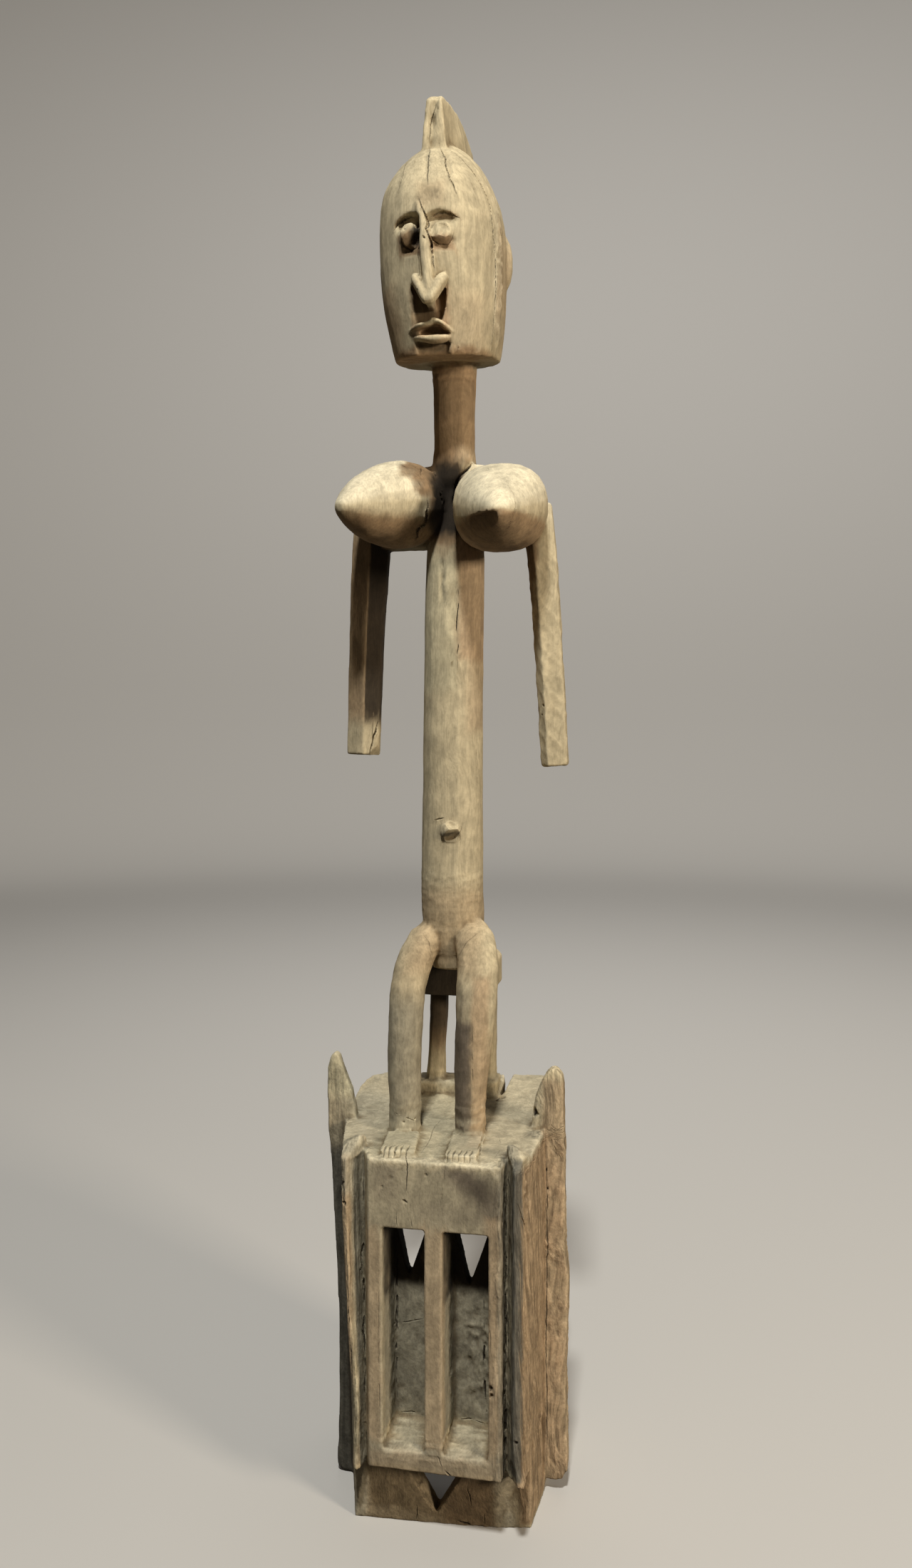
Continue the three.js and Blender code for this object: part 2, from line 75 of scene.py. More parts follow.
def useModifier(obj, kind, **settings):
    pickUp(obj)
    bpy.ops.object.modifier_add(type=kind)
    modifier = obj.modifiers[-1]
    for name, value in settings.items():
        setattr(modifier, name, value)
    bpy.ops.object.modifier_apply(modifier=modifier.name)
    return obj


def readPoints(mesh):
    flat = np.empty(len(mesh.vertices) * 3, np.float32)
    mesh.vertices.foreach_get("co", flat)
    return flat.reshape(-1, 3).astype(float) / mm


def readNormals(mesh):
    flat = np.empty(len(mesh.vertices) * 3, np.float32)
    mesh.vertex_normals.foreach_get("vector", flat)
    return flat.reshape(-1, 3).astype(float)


def writePoints(mesh, points):
    mesh.vertices.foreach_set("co", (points * mm).astype(np.float32).ravel())
    mesh.update()


def readEdges(mesh):
    flat = np.empty(len(mesh.edges) * 2, np.int32)
    mesh.edges.foreach_get("vertices", flat)
    return flat.reshape(-1, 2)


def keepValue(mesh, name, values):
    layer = mesh.attributes.new(name, "FLOAT", "POINT")
    layer.data.foreach_set("value", np.clip(values, 0, 1).astype(np.float32))


def ease(value, low, high):
    share = np.clip((value - low) / (high - low), 0, 1)
    return share * share * (3 - 2 * share)


def inBox(points, low, high):
    return ((points > low) & (points < high)).all(1)


# Box with soft sides: 1 inside, 0 outside
def within(points, low, high, soft):
    low, high = np.array(low), np.array(high)
    sides = np.minimum(ease(points, low - soft, low + soft), 1 - ease(points, high - soft, high + soft))
    return sides.min(1)


# Whole numbers to an even spread of 0 to 1, the same on every run
def scatter(cells, seed):
    x, y, z = cells.astype(np.int64).T
    mixed = (x * 73856093 ^ y * 19349663 ^ z * 83492791 ^ seed * 26544357) & 0xffffffff
    mixed = (mixed ^ mixed >> 15) * 2246822519 & 0xffffffff
    mixed = (mixed ^ mixed >> 13) * 3266489917 & 0xffffffff
    return (mixed ^ mixed >> 16) / 0xffffffff


# Soft noise from -1 to 1, with lumps of about the given size along x, y and z
def lumps(points, size, seed, layers=1):
    total, weight, whole = 0, 1, 0
    for layer in range(layers):
        spot = points / np.array(size, float) * 2 ** layer + 7.3 * layer
        cell = np.floor(spot)
        part = spot - cell
        part = part * part * (3 - 2 * part)
        value = 0
        for corner in range(8):
            step = np.array([corner & 1, corner >> 1 & 1, corner >> 2 & 1])
            value = value + np.prod(np.where(step, part, 1 - part), axis=1) * scatter(cell + step, seed + layer)
        total = total + weight * (2 * value - 1)
        whole += weight
        weight *= 0.5
    return total / whole


# Adze scoops: 0 in the middle of each, rising to about 1 on the ridges between them
def scoops(points, size, seed):
    spot = points / np.array(size, float)
    home = np.floor(spot)
    nearest = np.full(len(points), 4.0)
    for step in np.ndindex(3, 3, 3):
        cell = home + np.array(step) - 1
        middle = cell + 0.15 + 0.7 * np.column_stack([scatter(cell, seed + axis) for axis in range(3)])
        nearest = np.minimum(nearest, ((spot - middle) ** 2).sum(1))
    return np.minimum(nearest * 1.6, 1)


# The photograph's view, from a little to the right of the mask
cameraSet = {
    "place": (245.9, -1167.9, 798.2),
    "turn": 11.5,
    "pitch": 3.447,
    "lens": 27.16,
}


def makeCamera():
    bpy.ops.object.camera_add(location=Vector(cameraSet["place"]) * mm)
    camera = bpy.context.object
    camera.rotation_euler = (math.radians(90 - cameraSet["pitch"]), 0, math.radians(cameraSet["turn"]))
    camera.data.sensor_width = 36
    camera.data.lens = cameraSet["lens"]
    bpy.context.scene.camera = camera


# The carving's mesh: how finely it is cut, how soft its box and its figure are, how near the cracks it is cut
# finer (once for each band), how high the adze marks stand, the share kept of the sides that face the back or
# the hollow, and how many triangles are kept in all
carvingSet = {
    "grid": 1.5,
    "softBox": 1,
    "softFigure": 6,
    "figureFrom": 384,
    "faceBox": ((-50, -100, 1130), (45, -40, 1275)),
    "crackBands": (2.6, 1.3),
    "swell": 0.5,
    "adze": {"box": 0.25, "figure": 0.5, "face": 0.3},
    "fineMarks": 0.16,
    "hollowBox": ((-92, -62, -5), (88, 130, 345)),
    "hiddenShare": 0.1,
    "triangles": 192000,
}


def addGroup(obj, name, chosen):
    group = obj.vertex_groups.new(name=name)
    group.add([int(index) for index in np.flatnonzero(chosen)], 1, "REPLACE")


def makeBlank():
    pickUp(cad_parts["satimbe_mask"])
    bpy.ops.object.duplicate()
    blank = bpy.context.object
    blank.name = "carvedMask"
    blank.parent = None
    for key in list(blank.keys()):
        del blank[key]
    bpy.ops.object.mode_set(mode="EDIT")
    bpy.ops.mesh.select_all(action="SELECT")
    bpy.ops.mesh.remove_doubles(threshold=0.01 * mm)
    bpy.ops.object.mode_set(mode="OBJECT")
    useModifier(blank, "REMESH", mode="VOXEL", voxel_size=carvingSet["grid"] * mm, use_smooth_shade=True)
    useModifier(blank, "SMOOTH", factor=0.5, iterations=carvingSet["softBox"])
    points = readPoints(blank.data)
    addGroup(blank, "figure", (points[:, 2] > carvingSet["figureFrom"]) & ~inBox(points, *carvingSet["faceBox"]))
    useModifier(blank, "SMOOTH", factor=0.5, iterations=carvingSet["softFigure"], vertex_group="figure")
    blank.vertex_groups.clear()
    return blank


# Drying cracks and cuts: half width, depth, the way the surface looks, how broken the line is (0 whole, 1 only
# spots) and its path. A wide crack is a V-shaped notch, open to about twice its half width.
front, up = (0, -1, 0), (0, 0, 1)
cracks = {
    "crest": (0.45, 2, front, 0, (-2.1, -41.6, 1376), (-3.8, -41, 1369), (-7.5, -40.4, 1361), (-8.9, -39.4, 1349),
              (-10.3, -38.6, 1337)),
    "crestToBrow": (0.6, 2.8, front, 0, (-10.3, -38.6, 1337), (-7.5, -47.6, 1325.5), (-5.3, -64, 1307),
                    (-4.3, -69.9, 1296), (-3.4, -74.5, 1282)),
    "crown": (0.75, 3.1, front, 0, (-0.4, -38.6, 1338), (3.1, -45.5, 1327), (9.6, -55.8, 1314), (11.3, -62.2, 1305),
              (15.5, -67.4, 1293), (20, -68.4, 1284), (24.2, -68.7, 1272)),
    "leftCrown": (0.45, 2, front, 0, (-28.7, -46.6, 1320), (-30.4, -54.4, 1310), (-29.6, -62.4, 1300),
                  (-30.7, -66.2, 1292), (-34.7, -67.7, 1279)),
    "leftCrownShort": (0.4, 1.5, front, 0, (-20.2, -50.8, 1320), (-19.9, -58.8, 1311)),
    "rightCrown": (0.35, 1, front, 0, (29.8, -51.5, 1302), (34.1, -53.9, 1290), (39.4, -52.9, 1277)),
    "hairLine": (0.7, 2.9, (0.5, -0.86, 0), 0, (9.6, -40.6, 1329), (20.6, -44.3, 1319), (30.8, -44.7, 1308),
                 (36.8, -43.2, 1300), (43.2, -39.5, 1289), (47.9, -35, 1278), (50, -36.3, 1262), (52.1, -32.2, 1237),
                 (53, -29.3, 1218), (52.5, -29.8, 1192), (50.5, -30.1, 1165), (49, -29.3, 1145)),
    "browAndNose": (0.8, 3.5, front, 0, (-12.5, -75.6, 1274), (-10.4, -76.2, 1270), (-7.1, -77.3, 1261),
                    (-5.2, -76.9, 1256), (-2, -78.4, 1249), (-2, -77.4, 1244), (-3, -77.4, 1241), (-0.6, -76.9, 1236),
                    (0.4, -76.5, 1231), (1.3, -76.1, 1225), (2.7, -75.1, 1212), (3.8, -78.2, 1203)),
    "leftBrow": (1.1, 2.4, front, 0, (-37.5, -68, 1247), (-33.3, -68.9, 1253), (-27.2, -71.3, 1256.7),
                 (-20.1, -72.5, 1258.2), (-14, -72, 1257)),
    "rightBrow": (0.8, 1.6, front, 0, (-2, -74, 1252), (0.2, -72.4, 1255.9), (6, -74.5, 1258.7),
                  (11.5, -74.9, 1259.3), (17.9, -73.5, 1257.5), (22.6, -70.5, 1254.4), (27.5, -68.8, 1252.2)),
    "noseSide": (0.7, 1.7, front, 0, (-14.6, -71, 1256), (-13, -74, 1247), (-12.4, -76, 1240), (-12, -76.1, 1231),
                 (-11.9, -75.5, 1222), (-11.5, -74.8, 1213), (-11.1, -74, 1203), (-11, -74, 1197)),
    "leftEyeRim": (0.9, 2, front, 0, (-30, -74, 1247), (-30, -74, 1237), (-26.5, -75, 1230.4), (-20, -75.6, 1227),
                   (-14, -75.6, 1228.5), (-12.6, -76, 1236)),
    "rightEyeRim": (0.6, 1.3, front, 0, (-0.5, -77, 1240), (2, -76.4, 1233), (8, -76, 1228.6), (15.5, -73.7, 1229),
                    (20.5, -73.4, 1236), (21.5, -73, 1243)),
    "jawUnder": (0.6, 1.6, (0, -0.8, -0.6), 0.1, (-40, -36, 1139), (-20, -46, 1134.5), (0, -48, 1133.5),
                 (20, -42, 1135), (42, -20, 1139)),
    "jawUnderB": (0.5, 1.3, (0, -0.8, -0.6), 0.2, (-30, -38, 1135), (-8, -44, 1132.5), (14, -40, 1133.5),
                  (34, -24, 1136)),
    "noseNick": (0.9, 2, front, 0, (-5.9, -84, 1235), (-3.4, -84, 1232)),
    "chin": (0.4, 1, front, 0, (23.2, -60.3, 1142.4), (21.5, -51.6, 1135.2)),
    "jaw": (0.35, 1, front, 0.3, (-48.1, -47.7, 1182.5), (-48.4, -42, 1165), (-46, -38, 1145)),
    "cheek": (0.4, 0.8, front, 0.5, (32.6, -59.4, 1172.1), (31.2, -59.2, 1163.8), (29.8, -59, 1154.1)),
    "breastRoot": (0.9, 3, front, 0.15, (-38, -42, 1038.2), (-26.5, -44.1, 1031.2), (-21, -48.2, 1021.7),
                   (-17.1, -46.9, 1016.8), (-16.2, -47.7, 1013.9)),
    "breastSplit": (1.0, 3.5, front, 0, (-11.6, -43.5, 1003.7), (-11.3, -41.6, 995.8), (-12.9, -40.9, 989.2),
                    (-15.7, -38, 980.9), (-20, -42.3, 978.3), (-24, -36.3, 971.1), (-26.6, -28, 966.9)),
    "rootCuts": (0.8, 2.5, front, 0, (-21, -25, 1037), (-19.9, -31.9, 1033.3), (-18.8, -39.7, 1027)),
    "rootCross": (0.6, 2, front, 0, (-26.4, -30, 1037), (-23.1, -30, 1034.7), (-19, -30, 1035)),
    "rootEdge": (1.2, 3, front, 0.2, (-14, -4, 1038), (-10.6, -12.8, 1031.2), (-4.4, -21.7, 1017.5),
                 (-1.9, -20.2, 1007.4), (-1, -20, 996)),
    "breastFine": (0.35, 1, front, 0, (71.8, -87.1, 1011.7), (82.4, -100.8, 993.5), (84.3, -104.6, 982),
                   (78.4, -99.6, 966.5), (70.5, -91, 960.4)),
    "breastCrease": (1.4, 3.5, front, 0, (24.7, 4.3, 1045.7), (18.7, -5.7, 1037), (13.4, -7.7, 1031.2),
                     (8.1, -6.2, 1019.9), (7, -7.7, 1009.2), (7.3, -9.5, 998.5)),
    "breastNick": (0.5, 1, front, 0, (50.5, -60.4, 1027.5), (53.6, -70.4, 1022.8)),
    "torsoRidge": (0.6, 2.5, front, 0.15, (13.2, -17.2, 927.7), (13.9, -17.1, 906.8), (11.8, -17.2, 888),
                   (11.8, -17.3, 878.2), (14, -17.4, 864.9), (12.6, -17.6, 850.9), (13.3, -17.7, 836.9)),
    "torsoNick": (0.5, 1.3, front, 0.5, (-1.4, -15.9, 952), (-2.2, -15.9, 938.7), (-2.9, -15.8, 924.7),
                  (-2.2, -15.9, 903.8)),
    "torsoLeft": (0.35, 0.9, front, 0.4, (-13.9, -12, 883.2), (-14.6, -12.2, 847.9), (-12.9, -13.7, 805.3),
                  (-13.6, -13.7, 776.9)),
    "torsoRight": (0.35, 0.9, front, 0.5, (31.1, -1.4, 791.1), (30.1, -3.8, 762.6), (30.8, -3, 734),
                   (28.7, -7.4, 712.8)),
    "navelCut": (0.8, 1.8, front, 0, (-12, -15.9, 690), (-5.6, -17.6, 692.5), (0.4, -18.6, 694)),
    "navelRim": (0.5, 1.2, front, 0.2, (13.5, -18.9, 692), (17.5, -17.3, 683.5), (16.2, -17.6, 671),
                 (8, -19, 665)),
    "groinLeft": (0.45, 1.3, front, 0, (-20.8, -22.3, 575.5), (-14.5, -24.3, 568.9), (-12, -25.7, 559.9),
                  (-11.9, -22.9, 549)),
    "groinRight": (0.45, 1.3, front, 0, (37.8, -16.9, 581.8), (31.2, -24.2, 576.4), (23.3, -27.9, 569.7),
                   (17.1, -29.2, 557.5), (15.2, -26.9, 549.1)),
    "armEnd": (0.9, 4, front, 0, (-75, 9.1, 790.9), (-77.7, 7.6, 780), (-81.8, 5.5, 763), (-85, 3.5, 753)),
    "armEndFine": (0.4, 1.5, front, 0.3, (-79.3, 5.6, 801.9), (-80.2, 5.7, 783.6), (-81, 5.7, 769)),
    "leftAnkle": (0.7, 1.5, front, 0.3, (-46, -40, 402), (-40, -47, 398.5), (-32.6, -47.8, 396),
                  (-27.5, -44.7, 393.8), (-23, -36, 391)),
    "rightShin": (0.5, 1, front, 0.5, (34.5, -50.7, 500.1), (34.7, -50.1, 464.6), (34.8, -48.7, 421.7),
                  (33, -48.3, 394.3)),
    "roofLeft": (0.7, 1.4, up, 0.1, (-96, 17, 381), (-76, 17.5, 381), (-62, 14, 381)),
    "roofRight": (0.7, 1.4, up, 0, (50, -5, 379.5), (68.7, -8.5, 379.5), (84.2, -11.4, 379.5), (97, -14.2, 379.5)),
    "roofFoot": (0.6, 1.3, up, 0, (43, -40, 380), (50, -95, 378)),
    "roofHole": (0.9, 3, up, 0, (47, 67, 383), (39.7, 55.1, 382), (52, 60, 383)),
    "roofCutA": (0.5, 0.9, up, 0.2, (-8, -20, 380), (6, -24, 380), (12, -20, 380)),
    "roofCutB": (0.5, 0.9, up, 0.2, (-6, 20, 380), (2, 28, 380), (10, 20, 380), (14, 30, 380)),
    "roofCutC": (0.4, 0.8, up, 0.3, (56, -50, 379), (74, -32, 379), (86, -20, 379)),
    "roofCutD": (0.4, 0.8, up, 0.3, (-70, -50, 379), (-56, -34, 379), (-50, -24, 379)),
    "ankleZigzag": (0.5, 1, up, 0, (8, -62, 381), (14, -44, 381), (20, -50, 381), (26, -42, 381)),
    "instep": (0.5, 1, up, 0, (18, -72, 383), (46, -72, 383)),
    "footSide": (0.6, 1.4, up, 0, (43.8, -32, 381), (45, -55, 382), (45.7, -74, 383), (47.5, -96, 380)),
    "roofPlank": (0.5, 1.2, up, 0, (-9, -100, 379), (-7, -60, 379), (-10, -20, 380), (-6, 20, 380)),
    "roofPlankB": (0.4, 1, up, 0.1, (14, -20, 380), (16, 10, 380), (13, 40, 380)),
    "roofLong": (0.45, 1, up, 0.1, (56, -26, 379), (66, -60, 378), (62, -98, 376)),
    "footCrack": (0.6, 2.6, (0, -1, 0.6), 0, (-20.5, -92, 384), (-19, -104, 379), (-16, -109, 373.6),
                  (-17.4, -109.6, 353.4), (-18.2, -109.6, 346)),
    "frameCrack": (0.35, 1.2, front, 0.3, (20, -109.6, 374.7), (18.3, -109.6, 358.9), (16.7, -109.6, 339.7)),
    "frameNick": (1.3, 1.6, front, 0, (-21.6, -109.6, 339.9), (-15.8, -109.6, 336.3)),
    "overLeftEye": (0.4, 1.2, front, 0, (-27.5, -109.6, 328), (-26.5, -109.6, 312)),
    "overLeftEyeB": (0.35, 1, front, 0, (-13, -109.6, 322), (-11.5, -109.6, 312)),
    "frameFoot": (0.9, 2, front, 0, (20.1, -109.6, 79), (26, -109.6, 74)),
    "frameFootB": (0.6, 1.5, front, 0, (12.5, -109.6, 93), (17.3, -109.6, 81.9)),
    "barLeft": (0.45, 1, front, 0.3, (-44.5, -109.6, 301), (-45, -109.6, 168), (-44, -109.6, 103)),
    "barRight": (0.45, 1, front, 0.4, (62, -109.6, 300), (63, -109.6, 200), (61, -109.6, 110)),
    "grooveStep": (0.6, 1.2, front, 0.1, (-38.9, -71.6, 199), (-27.2, -71.6, 200.5), (-8, -71.6, 206)),
    "grooveCorner": (0.9, 3, front, 0.35, (-36.5, -72, 300), (-36, -72, 230), (-37, -72, 170), (-36, -74, 112)),
    "grooveMiddle": (0.7, 2.5, front, 0.4, (18, -72, 235), (18.5, -72, 170), (18.5, -76, 112)),
    "grooveWorm": (1.0, 3, front, 0.4, (50, -71.6, 238), (51, -71.6, 200), (50, -71.6, 160), (52, -73, 132),
                   (55, -90, 104)),
    "rampEdgeLeft": (0.7, 1.5, front, 0.2, (-37, -74, 108), (-22, -73, 110), (-8, -74, 107)),
    "rampEdgeRight": (0.7, 1.5, front, 0.2, (19, -74, 107), (36, -73, 110), (53, -74, 106)),
    "stripTop": (1.2, 3, front, 0.2, (-80.4, -108, 373), (-80.7, -108, 347), (-79, -108, 330), (-76.3, -108, 318)),
    "stripEdge": (0.7, 2, front, 0.2, (-77.3, -108.5, 300), (-75.4, -108, 233), (-74.5, -108, 209),
                  (-70.7, -108, 140), (-66.3, -108, 71)),
    "leftRoot": (0.8, 2.8, front, 0.2, (-65, -85, 372), (-65.6, -85.7, 327), (-64.2, -86.7, 299), (-66.6, -89, 269),
                 (-64.7, -86, 239), (-64.3, -87, 199.5), (-62.5, -89, 165), (-63, -90, 140), (-60, -90, 84)),
    "rightRoot": (0.8, 2.6, front, 0.2, (78.1, -91, 372), (76, -86.2, 354.3), (75.3, -85.5, 326.3),
                  (75.3, -85.2, 291.5), (75.1, -87.5, 257.9), (75.1, -87.1, 222.8), (75.2, -86.8, 187.7),
                  (75.2, -86.4, 152.3), (75, -88.7, 118.4), (74.7, -91.1, 84.6)),
    "rightRootFoot": (1.4, 3, front, 0.3, (75.5, -87, 150), (75, -89, 118), (74.7, -91, 88)),
    "finCurl": (0.8, 2.5, (0.7, -0.7, 0), 0, (88.4, -108.3, 345), (91.2, -101.5, 330), (92.9, -94.1, 318),
                (93.6, -88, 303)),
    "flangeLine": (0.6, 2, (0.5, -0.86, 0), 0, (100.8, -4.7, 378), (101.4, -3, 352.7), (103.1, -3, 293.8),
                   (103.4, -3, 249.4), (102.2, -3, 182.2), (103.3, -3, 107.3), (103.6, -3, 20)),
    "panelLeft": (0.5, 1.5, front, 0, (-14.3, -79, 20.8), (-16.8, -74.6, 1)),
    "panelRight": (0.5, 1.5, front, 0, (50.9, -73.3, 17.3), (51, -69.6, 1.2)),
    "panelMiddle": (0.6, 1.8, front, 0, (36, -78, 48), (38, -77.9, 33), (39, -75.9, 22)),
    "panelFoot": (1.5, 3, front, 0, (24, -72.3, 5.2), (38, -70.7, 1)),
    "mouthSide": (0.5, 1.5, front, 0, (-22, -78, 56), (-10, -77, 34), (2.6, -75.7, 12)),
}
for number, (x, y) in enumerate([(-41, -107), (-36, -106.5), (-30.5, -106), (-25, -105), (-19.5, -104),
                                 (21, -106.5), (26, -106), (31.5, -105.5), (37, -105), (42, -104.5)]):
    cracks[f"toe{number}"] = (1.1, 1.5, up, 0, (x, y, 383), (x, y + 18, 383))

# Worm holes, and knots with a negative depth that stand proud: middle, radius and depth
pits = [
    (-24.2, -75.6, 1243.8, 2.2, 3), (-41, -109.6, 350.6, 2, 0.8), (-32.6, -109.6, 359.6, 3, 0.8),
    (1.8, -109.6, 365.1, 2, 1), (62.3, -109.6, 165, 4, 4), (64, -109.6, 158, 3, 3), (88.2, -108.6, 115.6, 2.2, 3),
    (89.2, -3.1, 395.3, 5, 5), (45.7, 65.8, 386, 4, 6), (101.6, -3, 337, 2.5, 2.5), (103, -3, 318, 2, 2),
    (102.6, -3, 312, 1.6, 1.8), (93.6, -90.8, 357, 4, -1.4), (92.8, -94.4, 350, 3.5, -1.1),
    (94, -88, 340, 5, -1.2), (-80.6, -108, 352, 2.2, 3), (-78.6, -108, 331, 2.6, 3), (95.9, 2.2, 805.3, 2, 1.5),
    (95, 4, 796, 1.6, 1.2), (-0.8, -75.5, 1276, 9, 0.9), (2, -16, 808, 1.5, 1), (-30, -47.5, 396.5, 1.8, 2),
    (-24.5, -42, 394, 1.5, 2), (-35, -48, 392, 1.5, 1.5),
]


# Roughened copy of a path in short steps, which wanders sideways across the surface
def wander(path, facing, seed, sway):
    corners = np.array(path, float)
    along = np.concatenate([[0], np.cumsum(np.linalg.norm(np.diff(corners, axis=0), axis=1))])
    steps = np.linspace(0, along[-1], max(int(along[-1] / 1.5), 2) + 1)
    line = np.column_stack([np.interp(steps, along, corners[:, axis]) for axis in range(3)])
    sideways = np.cross(np.gradient(line, axis=0), facing)
    sideways /= np.maximum(np.linalg.norm(sideways, axis=1, keepdims=True), 1e-6)
    swing = lumps(np.column_stack([steps, 0 * steps, 0 * steps]), (6, 1, 1), seed, 3)
    swing *= np.minimum(1, np.minimum(steps, along[-1] - steps) / 3)
    return line + sideways * swing[:, None] * sway


# How far each point is from a path across the surface, and its share along the path
def acrossPath(points, line, facing, reach):
    away = np.full(len(points), farOff)
    share = np.zeros(len(points))
    for index in range(len(line) - 1):
        step = line[index + 1] - line[index]
        rest = points - line[index]
        part = np.clip(rest @ step / (step @ step), 0, 1)
        rest = rest - part[:, None] * step
        through = rest @ facing
        across = np.sqrt(np.maximum((rest ** 2).sum(1) - through ** 2, 0))
        across[np.abs(through) > reach] = farOff
        closer = across < away
        away[closer] = across[closer]
        share[closer] = (index + part[closer]) / (len(line) - 1)
    return away, share


# How far each point is from the nearest crack in that crack's own half widths, the depth there, how far from any
# crack in mm, and how dark the cracks' lines are, which stay dark where they are too fine for the mesh
def crackField(points):
    nearest = np.full(len(points), farOff)
    apart = np.full(len(points), farOff)
    depth = np.zeros(len(points))
    ink = np.zeros(len(points))
    reach = 9
    for number, (wide, deep, facing, broken, *path) in enumerate(cracks.values()):
        facing = np.array(facing, float) / np.linalg.norm(facing)
        line = wander(path, facing, 100 + number, min(0.9, 0.4 + 0.4 * wide))
        close = np.flatnonzero(inBox(points, line.min(0) - reach, line.max(0) + reach))
        spots = points[close]
        away, share = acrossPath(spots, line, facing, reach)
        taper = np.sin(np.pi * np.clip(share, 0.02, 0.98)) ** 0.45
        width = wide * taper * (1 + 0.3 * lumps(spots, (5, 5, 8), 300 + number))
        whole = ease(lumps(spots, (5, 5, 7), 500 + number), broken - 0.7, broken - 0.1) if broken else 1
        width *= np.maximum(whole, 0.02)
        drawn = (1 - ease(away / np.maximum(width, 0.6), 0.5, 1.4)) * ease(deep * taper, 0, 3.2) * whole
        ink[close] = np.maximum(ink[close], drawn)
        unit = away / width
        better = unit < nearest[close]
        nearest[close[better]] = unit[better]
        depth[close[better]] = (deep * taper * np.minimum(width / wide, 1))[better]
        apart[close] = np.minimum(apart[close], away)
    return nearest, depth, apart, ink


# How far each point lies in a pit (1 at its bottom), the depth there, and how far it is from any pit in mm
def pitField(points):
    share = np.zeros(len(points))
    depth = np.zeros(len(points))
    apart = np.full(len(points), farOff)
    for x, y, z, radius, deep in pits:
        close = np.flatnonzero((np.abs(points - (x, y, z)) < radius + 6).all(1))
        spots = points[close]
        away = np.linalg.norm(spots - (x, y, z), axis=1) * (1 + 0.3 * lumps(spots, (3, 3, 3), 77))
        inner = np.maximum(0, 1 - (away / radius) ** 2) ** 1.3
        more = inner > share[close]
        share[close[more]] = inner[more]
        depth[close[more]] = deep
        apart[close] = np.minimum(apart[close], away - radius)
    return share, depth, apart


def subdivideNear(obj, mask):
    pickUp(obj)
    mesh = obj.data
    bpy.ops.object.mode_set(mode="EDIT")
    bpy.ops.mesh.select_mode(type="VERT")
    bpy.ops.mesh.select_all(action="DESELECT")
    bpy.ops.object.mode_set(mode="OBJECT")
    mesh.vertices.foreach_set("select", mask)
    bpy.ops.object.mode_set(mode="EDIT")
    bpy.ops.mesh.select_mode(type="FACE")
    bpy.ops.mesh.subdivide(number_cuts=1, smoothness=0, quadcorner="INNERVERT")
    bpy.ops.object.mode_set(mode="OBJECT")


def openCracks(obj):
    for band in carvingSet["crackBands"]:
        points = readPoints(obj.data)
        nearest, _, apart, _ = crackField(points)
        _, _, rim = pitField(points)
        subdivideNear(obj, (apart < band) | (nearest < 1.3) | (rim < band - 1))
    points = readPoints(obj.data)
    nearest, depth, _, _ = crackField(points)
    inner, hole, _ = pitField(points)
    inward = np.maximum(depth * np.maximum(0, 1 - nearest), inner * hole)
    inward = np.where((inner > 0) & (hole < 0), inner * hole, inward)
    chips = np.maximum(0, lumps(points, (2.5, 2.5, 3.5), 41)) * ease(depth, 1.2, 3)
    lip = (0.15 + 0.9 * chips) * np.exp(-((nearest - 1.4) / 0.5) ** 2)
    writePoints(obj.data, points + readNormals(obj.data) * (lip - inward)[:, None])


# Smooth valleys and, with a negative depth, ridges: half width, depth, the way the surface looks, path
valleys = [
    (3.2, 2.6, front, (-1.5, -41.6, 1382), (-3.8, -41, 1369), (-6, -40.4, 1361), (-7.5, -39.4, 1349),
     (-9, -39, 1336)),
    (3.0, 3.2, front, (-13, -73, 1254), (-12.5, -76, 1244), (-13.5, -76, 1233), (-17, -75.5, 1226), (-27, -74, 1227)),
    (2.6, 1.8, front, (2, -76, 1230), (9, -75, 1226.5), (17, -73, 1227.5), (22, -72, 1236)),
    (3.5, 1.6, front, (-34, -69, 1249), (-27, -71, 1253), (-19, -72, 1254.5)),
    (3.2, 1.2, front, (4, -74, 1255.5), (12, -74, 1256), (20, -71, 1253)),
    (3.2, -1.5, front, (16, -44, 1326), (27, -46, 1316), (37, -45, 1305), (44, -41, 1295), (51, -36, 1280),
     (54, -34, 1262), (56, -29, 1237), (57, -26, 1218), (56, -27, 1192), (54, -27, 1165), (52, -26, 1145)),
    (2, 1.2, front, (6, -40, 1330), (12, -52, 1314), (17, -64, 1293), (21, -67, 1282)),
    (2, 1.0, front, (-10, -42, 1332), (-7, -60, 1311), (-5, -70, 1296)),
    (2.5, 1.2, front, (-2.4, -16, 950), (-2.8, -16, 905)),
    (4, 1.6, front, (-28, -44, 1034), (-20, -50, 1019), (-13, -45, 1003), (-14, -39, 984), (-25, -32, 968)),
    (3, 2.2, front, (24.7, 4.3, 1046), (18.7, -5.7, 1037), (8.1, -6.2, 1020), (7.2, -9, 998)),
    (3.5, 1.3, front, (-71, -109, 330), (-72, -109, 240), (-68, -109, 140), (-64, -109, 75)),
    (6, 1.2, front, (10, -19, 930), (12, -19, 860), (15, -19, 800)),
]

